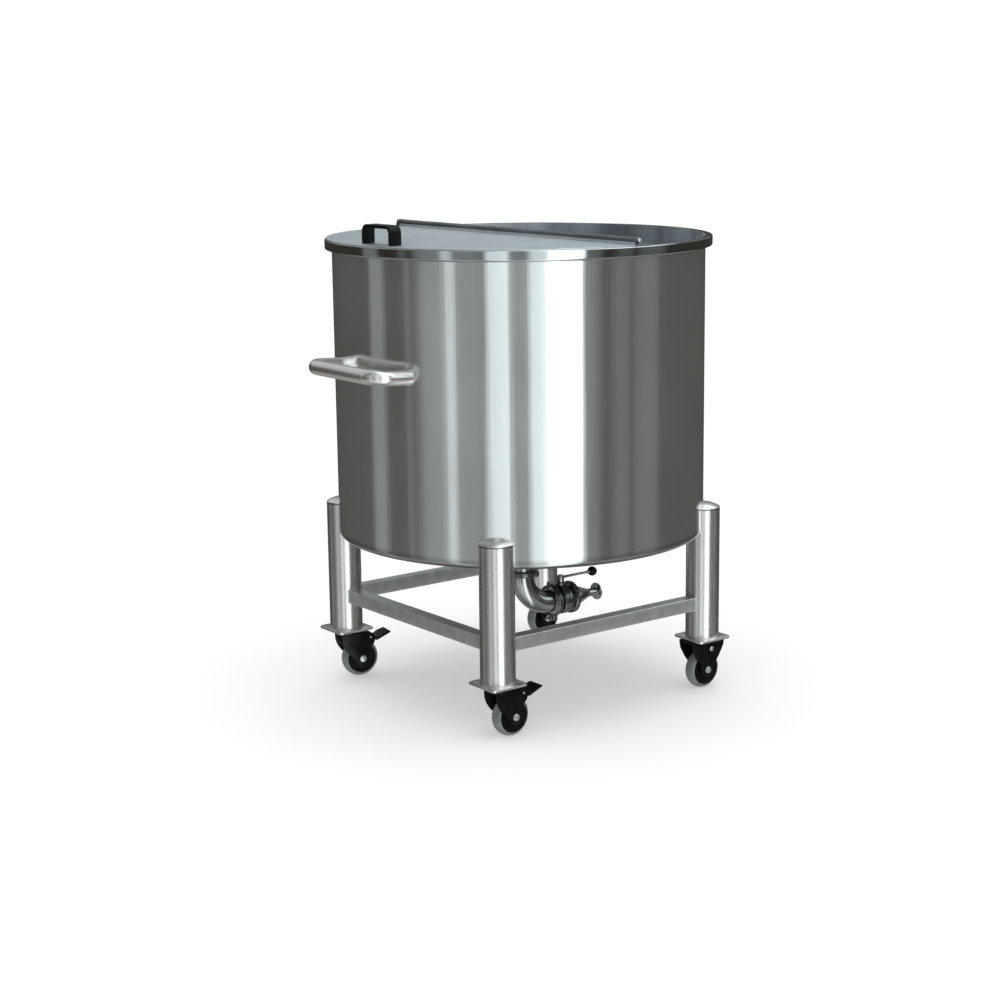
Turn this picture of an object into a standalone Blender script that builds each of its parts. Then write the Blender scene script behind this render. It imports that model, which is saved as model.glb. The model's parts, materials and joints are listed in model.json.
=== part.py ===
"""Open-top stainless steel storage tank on four castors, about 300 litres.

A plain round shell with a shallow dished bottom stands on four round legs that are
coped to its wall, with square rails on three sides and a castor under each leg. Half of
the mouth is closed by a hinged flat lid with a black strap handle. A bent tube handle
for pushing is welded to the rear of the shell, and a bottom outlet leads through an
elbow and a lever valve to a small ferrule at the front, where the frame is open.

Metres, +Z up, floor at z 0. +X points to the front, away from the push handle. All
pieces are placed about the tank's vertical axis, which the empty tank_axis carries, so
that the world's origin is the middle of the whole footprint.
"""

import math

import bmesh
import bpy
from mathutils import Matrix, Vector

# Clearance between pieces that touch
GAP = 0.0003

# Shell and bottom
SHELL_R = 0.400
WALL = 0.003
RIM_TOP = 0.995
SHELL_BOTTOM = 0.352
KNUCKLE_R = 0.012
BOTTOM_SLOPE = math.radians(10)
ROUND = 64
LEG_SIDES = 32
PIPE_SIDES = 24
ROD_SIDES = 12

# Rolled ring around the mouth
RIM_R = 0.415
RIM_HEIGHT = 0.021
RIM_EDGE = 0.003

# Hinged half lid, its bridge and its barrel
LID_R = 0.413
LID_SHEET = 0.002
LID_UPSTAND = 0.0075
LID_UPSTAND_INSET = 0.002
LID_EDGE_X = -0.0255
HINGE_X = -0.0195
HINGE_Z = RIM_TOP + 0.0125
BARREL_R = 0.005
BARREL_BORE = 0.0028
HINGE_PIN_R = 0.0025
BARREL_LENGTH = 0.828
KNUCKLES = 9
KNUCKLE_GAP = 0.001
KNUCKLE_WEB = 0.003
BRIDGE_X = (-0.0245, 0.0155)
BRIDGE_SHEET = 0.003
BRIDGE_LENGTH = 0.826

# Strap handle on the lid
STRAP_AT = (-0.372, -0.028)
STRAP_LENGTH = 0.103
STRAP_WIDTH = 0.0285
STRAP_HEIGHT = 0.040
STRAP_SHEET = 0.007
STRAP_BEND = 0.016

# Push handle
PUSH_Z = 0.742
PUSH_X = -0.457
PUSH_HALF = 0.124
PUSH_R = 0.016
PUSH_BEND = 0.036
PUSH_TILT = math.radians(3.5)

# Legs, base plates and rails
LEG_AT = SHELL_R * math.sqrt(0.5)
LEG_R = 0.0365
LEG_TOP = 0.408
LEG_DOME = 0.011
PLATE_HALF = 0.045
PLATE_CORNER = 0.009
PLATE_BOTTOM = 0.1125
PLATE_SHEET = 0.005
RAIL = 0.029
RAIL_BOTTOM = 0.1805

# Castors, sizes in a fork's own plane measured from the leg's axis and the floor
WHEEL_R = 0.042
WHEEL_SIDES = 32
TREAD_INNER_R = 0.0305
TREAD_HALF = 0.0142
HUB_HALF = 0.0132
HUB_BOSS_R = 0.011
AXLE_R = 0.004
TRAIL = 0.030
CHEEK_INNER = 0.0192
CHEEK_SHEET = 0.002
FORK_HUB_R = 0.016
AXLE_BOLT_R = 0.0065
AXLE_BOLT_END = 0.0268
FORK_TOP = 0.1068
CUP_R = 0.027
CUP_LOW = 0.100
CROWN_LOW = 0.0978
SWIVEL_CROWN_X = (-0.0215, 0.049)
SWIVEL_CROWN_SHEET = 0.006
FIXED_CROWN_SHEET = 0.004
RACE_R = 0.029
PEDAL_PIN = (0.050, 0.0905)
PEDAL_PIN_R = 0.0025
PEDAL_BOSS_R = 0.005
PEDAL_ROOT_HALF = 0.0165
PEDAL_TIP_HALF = 0.020
PEDAL_FLARE = (0.0125, 0.020)
LEFT_SWIVEL = math.radians(-10)

# Outlet pipework, about the pipe's axis
PIPE_R = 0.0255
PIPE_BORE = 0.0235
FERRULE_R = 0.032
FERRULE_SHEET = 0.0045
CLAMP_R = 0.0365
CLAMP_WIDTH = 0.014
CLAMP_EDGE = 0.003
PIPE_Z = 0.168
ELBOW_R = 0.076
NOZZLE_END = 0.2515
VALVE_START = 0.085
VALVE_END = 0.137
VALVE_R = 0.034
VALVE_WAIST = 0.010
VALVE_STEP = 0.002
NECK_R = 0.009
LEVER_Z = 0.222
LEVER_R = 0.003
LEVER_HUB_R = 0.008
LEVER_HUB_Z = (-0.0102, 0.006)
KNOB_X = 0.204
KNOB_R = 0.011
KNOB_SOCKET = 0.003
CONE_START = 0.147
CONE_END = 0.187
NOSE_R = 0.0095
NOSE_BORE = 0.0075
NOSE_STEP = 0.003
NOSE_FLANGE_R = 0.0195
NOSE_END = 0.2180

# The push handle makes the footprint longer at the rear than at the front
TANK_X = (-(PUSH_X - PUSH_R) - RIM_R) / 2

SIDES = {
    "rear_right": (-1, -1),
    "rear_left": (-1, 1),
    "front_right": (1, -1),
    "front_left": (1, 1),
}


def clear_scene():
    for item in list(bpy.data.objects):
        bpy.data.objects.remove(item, do_unlink=True)


def make_material(name, colour, roughness, metallic):
    material = bpy.data.materials.new(name)
    material.use_nodes = True
    shader = material.node_tree.nodes["Principled BSDF"]
    shader.inputs["Base Color"].default_value = (*colour, 1)
    shader.inputs["Roughness"].default_value = roughness
    shader.inputs["Metallic"].default_value = metallic
    return material


def finish(name, bm, material, parent, at=(0, 0, 0)):
    """Make the named object from a bmesh, shaded smooth with crisp edges."""
    bmesh.ops.remove_doubles(bm, verts=bm.verts, dist=0.00001)
    bmesh.ops.recalc_face_normals(bm, faces=bm.faces)
    mesh = bpy.data.meshes.new(name)
    bm.to_mesh(mesh)
    bm.free()
    mesh.shade_smooth()
    mesh.set_sharp_from_angle(angle=math.radians(35))
    mesh.materials.append(material)
    item = bpy.data.objects.new(name, mesh)
    item.parent = parent
    item.location = at
    bpy.context.scene.collection.objects.link(item)
    return item


def make_empty(name, parent, at, turn=0):
    """An empty that places what hangs under it, turned about Z."""
    empty = bpy.data.objects.new(name, None)
    empty.parent = parent
    empty.location = at
    empty.rotation_euler.z = turn
    bpy.context.scene.collection.objects.link(empty)
    return empty


def hide_cutter(cutter):
    cutter.hide_render = True
    cutter.display_type = "WIRE"


def combine(item, other, operation):
    modifier = item.modifiers.new(operation.lower(), "BOOLEAN")
    modifier.operation = operation
    modifier.solver = "EXACT"
    modifier.object = other
    hide_cutter(other)


def turned(profile, segments, closed=True):
    """Turn a profile of (radius, height) points about the Z axis."""
    bm = bmesh.new()
    verts = [bm.verts.new((radius, 0, height)) for radius, height in profile]
    edges = [bm.edges.new(pair) for pair in zip(verts, verts[1:])]
    if closed:
        edges.append(bm.edges.new((verts[-1], verts[0])))
    bmesh.ops.spin(
        bm, geom=verts + edges, cent=(0, 0, 0), axis=(0, 0, 1), dvec=(0, 0, 0),
        angle=math.tau, steps=segments, use_merge=True, use_duplicate=False,
    )
    bmesh.ops.remove_doubles(bm, verts=bm.verts, dist=0.00001)
    return bm


def lay_along_x(bm):
    """Lay a piece turned about Z down, so that its axis runs along +X."""
    bmesh.ops.transform(bm, matrix=Matrix.Rotation(math.pi / 2, 4, "Y"), verts=bm.verts)


def lay_along_y(bm):
    """Lay a piece turned about Z down, so that its axis runs along +Y."""
    bmesh.ops.transform(bm, matrix=Matrix.Rotation(-math.pi / 2, 4, "X"), verts=bm.verts)


def prism(outline, depth):
    """Push an outline, a list of 3-D points in one plane, along the vector depth."""
    bm = bmesh.new()
    face = bm.faces.new([bm.verts.new(point) for point in outline])
    pushed = bmesh.ops.extrude_face_region(bm, geom=[face])
    moved = [part for part in pushed["geom"] if isinstance(part, bmesh.types.BMVert)]
    bmesh.ops.translate(bm, vec=depth, verts=moved)
    return bm


def block(low, high):
    """A box between two corners."""
    size = Vector(high) - Vector(low)
    middle = (Vector(high) + Vector(low)) / 2
    bm = bmesh.new()
    bmesh.ops.create_cube(bm, size=1, matrix=Matrix.Translation(middle) @ Matrix.Diagonal((*size, 1)))
    return bm


def rod(radius, start, end, sides):
    """A round rod between two points."""
    start = Vector(start)
    along = Vector(end) - start
    bm = bmesh.new()
    turn = along.to_track_quat("Z", "X").to_matrix().to_4x4()
    place = Matrix.Translation(start + along / 2) @ turn
    bmesh.ops.create_cone(
        bm, cap_ends=True, segments=sides, radius1=radius, radius2=radius,
        depth=along.length, matrix=place,
    )
    return bm


def arc(centre, radius, start, end, steps):
    """Points on an arc in a plane, from one angle to another in degrees."""
    points = []
    for step in range(steps + 1):
        angle = math.radians(start + (end - start) * step / steps)
        points.append((centre[0] + radius * math.cos(angle), centre[1] + radius * math.sin(angle)))
    return points


def push_face(bm, face, vector):
    """Extrude one face along a vector and return the new end face."""
    pushed = bmesh.ops.extrude_face_region(bm, geom=[face, *face.edges, *face.verts])
    moved = [part for part in pushed["geom"] if isinstance(part, bmesh.types.BMVert)]
    bmesh.ops.translate(bm, vec=vector, verts=moved)
    return next(part for part in pushed["geom"] if isinstance(part, bmesh.types.BMFace))


def bend_face(bm, face, centre, axis, angle, steps):
    """Sweep one face about an axis and return the new end face."""
    swept = bmesh.ops.spin(
        bm, geom=[face, *face.edges, *face.verts], cent=centre, axis=axis, dvec=(0, 0, 0),
        angle=angle, steps=steps, use_merge=False, use_duplicate=False,
    )
    return next(part for part in swept["geom_last"] if isinstance(part, bmesh.types.BMFace))


def resize_face(bm, face, factor):
    """Step an end face in or out, to another radius in its own plane."""
    face = push_face(bm, face, (0, 0, 0))
    middle = face.calc_center_median()
    bmesh.ops.scale(bm, vec=(factor,) * 3, space=Matrix.Translation(-middle), verts=face.verts)
    return face


def bottom_line(offset, inner_r):
    """The bottom's section, from the shell's seam down to a radius near the middle.

    The offset is measured outwards from the bottom's outer surface.
    """
    centre = (SHELL_R - KNUCKLE_R, SHELL_BOTTOM + KNUCKLE_R)
    lowest = math.degrees(BOTTOM_SLOPE) - 90
    points = arc(centre, KNUCKLE_R + offset, 0, lowest, 3)
    r_end, z_end = points[-1]
    run = r_end - inner_r
    points.append((inner_r, z_end - run * math.tan(BOTTOM_SLOPE)))
    return points


def make_tank(axis, steel, satin):
    seam = SHELL_BOTTOM + KNUCKLE_R + GAP
    wall = [(SHELL_R, seam), (SHELL_R, RIM_TOP), (SHELL_R - WALL, RIM_TOP), (SHELL_R - WALL, seam)]
    finish("shell", turned(wall, ROUND), steel, axis)

    hole = PIPE_R + GAP
    section = bottom_line(0, hole) + bottom_line(-WALL, hole)[::-1]
    finish("bottom_head", turned(section, ROUND), satin, axis)

    inner = SHELL_R + GAP
    low = RIM_TOP - RIM_HEIGHT
    ring = [
        (inner, low), (RIM_R - RIM_EDGE, low), (RIM_R, low + RIM_EDGE),
        (RIM_R, RIM_TOP - RIM_EDGE), (RIM_R - RIM_EDGE, RIM_TOP), (inner, RIM_TOP),
    ]
    finish("rim_ring", turned(ring, ROUND), steel, axis)


def make_envelope(axis, material):
    """A cutter as large as the tank and its clearance, for legs and handle feet."""
    profile = bottom_line(GAP, 0)[::-1] + [(SHELL_R + GAP, RIM_TOP), (0, RIM_TOP)]
    cutter = finish("tank_envelope", turned(profile, ROUND, closed=False), material, axis)
    hide_cutter(cutter)
    return cutter


def barrel_part(first, material, name, parent, foot):
    """Every second knuckle of the hinge barrel, each with the foot that carries it."""
    pitch = BARREL_LENGTH / KNUCKLES
    parts = []
    for index in range(first, KNUCKLES, 2):
        low = -BARREL_LENGTH / 2 + index * pitch + KNUCKLE_GAP / 2
        high = low + pitch - KNUCKLE_GAP
        tube = [(BARREL_R, low), (BARREL_R, high), (BARREL_BORE, high), (BARREL_BORE, low)]
        bm = turned(tube, ROD_SIDES)
        lay_along_y(bm)
        knuckle = finish(f"{name}_knuckle_{index}", bm, material, parent)
        web = block((foot[0], low, foot[1]), (foot[2], high, foot[3]))
        parts.append((knuckle, finish(f"{name}_web_{index}", web, material, parent)))
    return parts


def make_bridge(axis, steel):
    """The flat bar across the mouth, with the barrel's fixed knuckles on it."""
    hinge = make_empty("hinge_axis", axis, (HINGE_X, 0, HINGE_Z))
    low = RIM_TOP + GAP
    half = BRIDGE_LENGTH / 2
    bar = block((BRIDGE_X[0], -half, low), (BRIDGE_X[1], half, low + BRIDGE_SHEET))
    bridge = finish("mouth_bridge", bar, steel, axis)
    half_web = KNUCKLE_WEB / 2
    web_low = low + BRIDGE_SHEET / 2 - HINGE_Z
    foot = (-half_web, web_low, half_web, -(BARREL_R + BARREL_BORE) / 2)
    for knuckle, web in barrel_part(0, steel, "fixed", hinge, foot):
        combine(bridge, knuckle, "UNION")
        combine(bridge, web, "UNION")
    pin = rod(HINGE_PIN_R, (0, -BARREL_LENGTH / 2, 0), (0, BARREL_LENGTH / 2, 0), ROD_SIDES)
    finish("hinge_pin", pin, steel, hinge)
    return hinge


def half_disc(radius, edge_x, low, sheet):
    """A flat plate inside a circle, on the rear side of a straight edge."""
    corner = math.degrees(math.acos(edge_x / radius))
    points = arc((0, 0), radius, corner, 360 - corner, 32)
    return prism([(x, y, low) for x, y in points], (0, 0, sheet))


def make_lid(axis, hinge, satin, black):
    low = RIM_TOP + GAP
    plate = half_disc(LID_R, LID_EDGE_X, low, LID_SHEET)
    bmesh.ops.translate(plate, vec=(-HINGE_X, 0, -HINGE_Z), verts=plate.verts)
    lid = finish("lid", plate, satin, hinge)
    half = math.sqrt(LID_R ** 2 - LID_EDGE_X ** 2) - LID_UPSTAND_INSET
    edge = LID_EDGE_X - HINGE_X
    top = low + LID_UPSTAND - HINGE_Z
    wall = block((edge - LID_SHEET, -half, low + LID_SHEET / 2 - HINGE_Z), (edge, half, top))
    combine(lid, finish("lid_upstand", wall, satin, hinge), "UNION")
    foot = (edge - LID_SHEET, top - KNUCKLE_WEB, edge + LID_SHEET, 0)
    for knuckle, web in barrel_part(1, satin, "lid", hinge, foot):
        combine(lid, knuckle, "UNION")
        combine(lid, web, "UNION")
    make_strap_handle(hinge, black)


def make_strap_handle(hinge, black):
    """A wide black strap bent into a bridge, standing on the lid."""
    foot = RIM_TOP + LID_SHEET + 2 * GAP
    half = STRAP_LENGTH / 2
    top = foot + STRAP_HEIGHT
    inside = STRAP_BEND - STRAP_SHEET
    outline = [(-half, foot)]
    outline += arc((-half + STRAP_BEND, top - STRAP_BEND), STRAP_BEND, 180, 90, 4)
    outline += arc((half - STRAP_BEND, top - STRAP_BEND), STRAP_BEND, 90, 0, 4)
    outline += [(half, foot), (half - STRAP_SHEET, foot)]
    outline += arc((half - STRAP_BEND, top - STRAP_BEND), inside, 0, 90, 4)
    outline += arc((-half + STRAP_BEND, top - STRAP_BEND), inside, 90, 180, 4)
    outline += [(-half + STRAP_SHEET, foot)]
    x_near = STRAP_AT[0] - STRAP_WIDTH / 2
    bm = prism([(x_near, STRAP_AT[1] + y, z) for y, z in outline], (STRAP_WIDTH, 0, 0))
    bmesh.ops.translate(bm, vec=(-HINGE_X, 0, -HINGE_Z), verts=bm.verts)
    finish("lid_handle", bm, black, hinge)


def make_push_handle(axis, steel, envelope):
    """A bent tube whose two ends slope down to the shell."""
    bm = bmesh.new()
    start = Vector((-SHELL_R * 0.9, -PUSH_HALF, PUSH_Z))
    turn = Matrix.Translation(start) @ Matrix.Rotation(-math.pi / 2, 4, "Y")
    bmesh.ops.create_circle(bm, cap_ends=True, segments=16, radius=PUSH_R, matrix=turn)
    bm.faces.ensure_lookup_table()
    corner = PUSH_X + PUSH_BEND
    leg = corner - start.x
    face = push_face(bm, bm.faces[0], (leg, 0, 0))
    near = (corner, -PUSH_HALF + PUSH_BEND, PUSH_Z)
    face = bend_face(bm, face, near, (0, 0, 1), -math.pi / 2, 6)
    face = push_face(bm, face, (0, 2 * (PUSH_HALF - PUSH_BEND), 0))
    far = (corner, PUSH_HALF - PUSH_BEND, PUSH_Z)
    face = bend_face(bm, face, far, (0, 0, 1), -math.pi / 2, 6)
    push_face(bm, face, (-leg, 0, 0))
    outer_bar = Vector((PUSH_X, 0, PUSH_Z))
    tilt = Matrix.Rotation(PUSH_TILT, 3, "Y")
    bmesh.ops.rotate(bm, cent=outer_bar, matrix=tilt, verts=bm.verts)
    handle = finish("push_handle", bm, steel, axis)
    combine(handle, envelope, "DIFFERENCE")


def plate_outline():
    """A square with rounded corners."""
    inset = PLATE_HALF - PLATE_CORNER
    corners = ((inset, inset), (-inset, inset), (-inset, -inset), (inset, -inset))
    outline = []
    for index, corner in enumerate(corners):
        outline += arc(corner, PLATE_CORNER, 90 * index, 90 * index + 90, 3)
    return outline


def make_legs(axis, steel, envelope):
    foot = PLATE_BOTTOM + PLATE_SHEET + GAP
    dome = [
        (LEG_R * math.cos(angle), LEG_TOP + LEG_DOME * math.sin(angle))
        for angle in (math.radians(degrees) for degrees in (0, 25, 50, 70))
    ]
    profile = [(0, foot), (LEG_R, foot)] + dome + [(0, LEG_TOP + LEG_DOME)]
    for side, (x, y) in SIDES.items():
        at = (x * LEG_AT, y * LEG_AT, 0)
        leg = finish(f"leg_{side}", turned(profile, LEG_SIDES, closed=False), steel, axis, at)
        combine(leg, envelope, "DIFFERENCE")
        plate = prism([(px, py, PLATE_BOTTOM) for px, py in plate_outline()], (0, 0, PLATE_SHEET))
        finish(f"base_plate_{side}", plate, steel, axis, at)


def make_rails(axis, steel):
    """Square tubes between the legs, their ends coped to the round legs.

    The front stays open for the outlet.
    """
    cutters = []
    for side, (x, y) in SIDES.items():
        shaft = [(0, RAIL_BOTTOM - RAIL), (LEG_R + GAP, RAIL_BOTTOM - RAIL),
                 (LEG_R + GAP, RAIL_BOTTOM + 2 * RAIL), (0, RAIL_BOTTOM + 2 * RAIL)]
        at = (x * LEG_AT, y * LEG_AT, 0)
        cutter = finish(f"cope_{side}", turned(shaft, LEG_SIDES, closed=False), steel, axis, at)
        cutters.append((x, y, cutter))
    half = RAIL / 2
    top = RAIL_BOTTOM + RAIL
    for name, fixed, sign in (("right", "y", -1), ("left", "y", 1), ("rear", "x", -1)):
        middle = sign * LEG_AT
        if fixed == "y":
            bm = block((-LEG_AT, middle - half, RAIL_BOTTOM), (LEG_AT, middle + half, top))
        else:
            bm = block((middle - half, -LEG_AT, RAIL_BOTTOM), (middle + half, LEG_AT, top))
        rail = finish(f"rail_{name}", bm, steel, axis)
        for x, y, cutter in cutters:
            if (y if fixed == "y" else x) == sign:
                combine(rail, cutter, "DIFFERENCE")


def cheek_outline(swivel):
    """The side plate of a castor fork, wide at the top and round about the axle."""
    if swivel:
        axle_x = TRAIL
        top = CROWN_LOW + SWIVEL_CROWN_SHEET
        stem_side = [(-0.022, top), (-0.0206, 0.099), (-0.020, 0.085), (-0.0152, 0.071), (-0.0054, 0.0575)]
        trail_side = [(0.047, 0.068), (0.058, 0.0745), (0.0605, 0.084), (0.058, 0.096), (0.050, top)]
    else:
        axle_x = 0
        top = PLATE_BOTTOM - GAP
        trail_side = [(0.021, 0.056), (0.033, 0.071), (0.0455, 0.0925), (0.050, top)]
        stem_side = [(-x, z) for x, z in reversed(trail_side)]
    return stem_side + arc((axle_x, WHEEL_R), FORK_HUB_R, 190, 350, 8) + trail_side


def make_fork(name, parent, black, swivel):
    """Two cheeks, the crown that joins them and the axle between them, as one piece."""
    outer = CHEEK_INNER + CHEEK_SHEET
    inside = outer - CHEEK_SHEET / 4
    axle_x = TRAIL if swivel else 0
    outline = cheek_outline(swivel)
    near = prism([(x, -outer, z) for x, z in outline], (0, CHEEK_SHEET, 0))
    fork = finish(name, near, black, parent)
    far = prism([(x, CHEEK_INNER, z) for x, z in outline], (0, CHEEK_SHEET, 0))
    pieces = [finish(f"{name}_far", far, black, parent)]
    if swivel:
        low_x, high_x = SWIVEL_CROWN_X
        high = CROWN_LOW + SWIVEL_CROWN_SHEET - GAP
        crown = block((low_x, -inside, CROWN_LOW), (high_x, inside, high))
        profile = [(0, CUP_LOW), (CUP_R, CUP_LOW), (CUP_R, FORK_TOP), (0, FORK_TOP)]
        cup = turned(profile, PIPE_SIDES, closed=False)
        pieces.append(finish(f"{name}_cup", cup, black, parent))
        end = outer + CHEEK_SHEET
        pin_x, pin_z = PEDAL_PIN
        pin = rod(PEDAL_PIN_R, (pin_x, -end, pin_z), (pin_x, end, pin_z), ROD_SIDES)
        pieces.append(finish(f"{name}_pedal_pin", pin, black, parent))
    else:
        top = PLATE_BOTTOM - 2 * GAP
        edge = PLATE_HALF + FIXED_CROWN_SHEET
        crown = block((-edge, -inside, top - FIXED_CROWN_SHEET), (edge, inside, top))
    pieces.append(finish(f"{name}_crown", crown, black, parent))
    end = outer + CHEEK_SHEET / 2
    axle = rod(AXLE_R, (axle_x, -end, WHEEL_R), (axle_x, end, WHEEL_R), ROD_SIDES)
    pieces.append(finish(f"{name}_axle", axle, black, parent))
    for sign in (-1, 1):
        seat = sign * (outer - CHEEK_SHEET / 2)
        head = rod(AXLE_BOLT_R, (axle_x, seat, WHEEL_R), (axle_x, sign * AXLE_BOLT_END, WHEEL_R), 6)
        pieces.append(finish(f"{name}_bolt_{sign + 1}", head, black, parent))
    for piece in pieces:
        combine(fork, piece, "UNION")


def make_wheel(side, parent, black, grey):
    """A grey tread with round shoulders on a black hub that turns on the axle."""
    shoulder = WHEEL_R - TREAD_INNER_R
    flat = TREAD_HALF - shoulder
    tread = arc((TREAD_INNER_R, -flat), shoulder, 270, 360, 3)
    tread += arc((TREAD_INNER_R, flat), shoulder, 0, 90, 3)
    bm = turned(tread, WHEEL_SIDES)
    lay_along_y(bm)
    finish(f"wheel_tread_{side}", bm, grey, parent)
    rim = TREAD_INNER_R - GAP
    bore = AXLE_R + GAP
    boss = CHEEK_INNER - GAP
    hub = [
        (bore, -boss), (HUB_BOSS_R, -boss), (HUB_BOSS_R, -HUB_HALF), (rim, -HUB_HALF),
        (rim, HUB_HALF), (HUB_BOSS_R, HUB_HALF), (HUB_BOSS_R, boss), (bore, boss),
    ]
    bm = turned(hub, PIPE_SIDES)
    lay_along_y(bm)
    finish(f"wheel_hub_{side}", bm, black, parent)


def make_pedal(side, parent, black):
    """The brake pedal, a wedge that turns on a pin in the fork and points away from the stem."""
    outline = arc((0, 0), PEDAL_BOSS_R, 300, 90, 6)
    outline += [(0.012, -0.001), (0.024, -0.003), (0.032, 0.003), (0.0505, 0.0075)]
    outline += [(0.049, 0.004), (0.016, -0.011), (0.006, -0.006)]
    bm = prism([(x, -1, z) for x, z in outline], (0, 2, 0))
    flare, full = PEDAL_FLARE
    for vert in bm.verts:
        spread = min(max((vert.co.x - flare) / (full - flare), 0), 1)
        vert.co.y *= PEDAL_ROOT_HALF + (PEDAL_TIP_HALF - PEDAL_ROOT_HALF) * spread
    bmesh.ops.triangulate(bm, faces=bm.faces)
    pedal = finish(f"brake_pedal_{side}", bm, black, parent)
    bore = rod(PEDAL_PIN_R + GAP, (0, -PEDAL_TIP_HALF, 0), (0, PEDAL_TIP_HALF, 0), ROD_SIDES)
    combine(pedal, finish(f"pedal_bore_{side}", bore, black, parent), "DIFFERENCE")


def make_castors(axis, black, grey):
    """Swivel castors with brakes at the rear and fixed ones at the front."""
    for side, (x, y) in SIDES.items():
        turn = LEFT_SWIVEL if side == "rear_left" else 0
        stem = make_empty(f"castor_{side}", axis, (x * LEG_AT, y * LEG_AT, 0), turn)
        swivel = x < 0
        make_fork(f"fork_{side}", stem, black, swivel)
        wheel = make_empty(f"axle_{side}", stem, (TRAIL if swivel else 0, 0, WHEEL_R))
        make_wheel(side, wheel, black, grey)
        if swivel:
            race = [(0, FORK_TOP + GAP), (RACE_R, FORK_TOP + GAP),
                    (RACE_R, PLATE_BOTTOM - GAP), (0, PLATE_BOTTOM - GAP)]
            finish(f"swivel_race_{side}", turned(race, PIPE_SIDES, closed=False), black, stem)
            pin = make_empty(f"pedal_pin_{side}", stem, (PEDAL_PIN[0], 0, PEDAL_PIN[1]))
            make_pedal(side, pin, black)


def make_nozzle(axis, steel):
    top = bottom_line(-WALL, PIPE_R)[-1][1]
    step = NOZZLE_END + FERRULE_SHEET
    profile = [
        (PIPE_BORE, top), (PIPE_BORE, NOZZLE_END), (FERRULE_R, NOZZLE_END),
        (FERRULE_R, step), (PIPE_R, step), (PIPE_R, top),
    ]
    finish("drain_nozzle", turned(profile, PIPE_SIDES), steel, axis)


def make_clamp(name, axis, steel, at, along_x):
    """A round clamp over the two ferrules of a joint."""
    half = CLAMP_WIDTH / 2
    inner = FERRULE_R + GAP
    profile = [
        (inner, -half), (CLAMP_R - CLAMP_EDGE, -half), (CLAMP_R, -half + CLAMP_EDGE),
        (CLAMP_R, half - CLAMP_EDGE), (CLAMP_R - CLAMP_EDGE, half), (inner, half),
    ]
    bm = turned(profile, PIPE_SIDES)
    if along_x:
        lay_along_x(bm)
    finish(name, bm, steel, axis, at)


def make_elbow(axis, steel):
    bm = bmesh.new()
    top = NOZZLE_END - GAP
    down = Matrix.Translation((0, 0, top))
    bmesh.ops.create_circle(bm, cap_ends=True, segments=PIPE_SIDES, radius=FERRULE_R, matrix=down)
    bm.faces.ensure_lookup_table()
    face = push_face(bm, bm.faces[0], (0, 0, -FERRULE_SHEET))
    face = resize_face(bm, face, PIPE_R / FERRULE_R)
    face = push_face(bm, face, (0, 0, PIPE_Z + ELBOW_R - top + FERRULE_SHEET))
    face = bend_face(bm, face, (ELBOW_R, 0, PIPE_Z + ELBOW_R), (0, 1, 0), -math.pi / 2, 8)
    end = VALVE_START - GAP
    face = push_face(bm, face, (end - FERRULE_SHEET - ELBOW_R, 0, 0))
    face = resize_face(bm, face, FERRULE_R / PIPE_R)
    push_face(bm, face, (FERRULE_SHEET, 0, 0))
    finish("outlet_elbow", bm, steel, axis)


def make_valve(axis, steel, black):
    """The valve body with its neck, and the lever with its ball, which turn together."""
    middle = (VALVE_START + VALVE_END) / 2
    body = [
        (0, VALVE_START), (FERRULE_R, VALVE_START), (FERRULE_R, VALVE_START + FERRULE_SHEET),
        (PIPE_R, VALVE_START + FERRULE_SHEET), (PIPE_R, middle - VALVE_WAIST - VALVE_STEP),
        (VALVE_R, middle - VALVE_WAIST), (VALVE_R, middle + VALVE_WAIST),
        (PIPE_R, middle + VALVE_WAIST + VALVE_STEP), (PIPE_R, VALVE_END - FERRULE_SHEET),
        (FERRULE_R, VALVE_END - FERRULE_SHEET), (FERRULE_R, VALVE_END), (0, VALVE_END),
    ]
    bm = turned(body, PIPE_SIDES, closed=False)
    lay_along_x(bm)
    valve = finish("valve_body", bm, steel, axis, (0, 0, PIPE_Z))
    hub_low, hub_high = LEVER_HUB_Z
    neck_top = LEVER_Z + hub_low - GAP
    neck = rod(NECK_R, (middle, 0, PIPE_Z + VALVE_R * 0.9), (middle, 0, neck_top), ROD_SIDES)
    combine(valve, finish("valve_neck", neck, steel, axis), "UNION")

    stem = make_empty("valve_stem_axis", axis, (middle, 0, LEVER_Z))
    hub = finish("valve_lever", rod(LEVER_HUB_R, (0, 0, hub_low), (0, 0, hub_high), ROD_SIDES), steel, stem)
    reach = KNOB_X - middle
    arm_end = reach - KNOB_R + KNOB_SOCKET
    arm = rod(LEVER_R, (LEVER_R / 2, 0, 0), (arm_end, 0, 0), ROD_SIDES)
    combine(hub, finish("lever_arm", arm, steel, stem), "UNION")
    ball = bmesh.new()
    at = Matrix.Translation((reach, 0, 0))
    bmesh.ops.create_uvsphere(ball, u_segments=16, v_segments=10, radius=KNOB_R, matrix=at)
    knob = finish("lever_knob", ball, black, stem)
    socket = rod(LEVER_R + GAP, (0, 0, 0), (arm_end + GAP, 0, 0), ROD_SIDES)
    combine(knob, finish("knob_socket", socket, black, stem), "DIFFERENCE")


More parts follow.
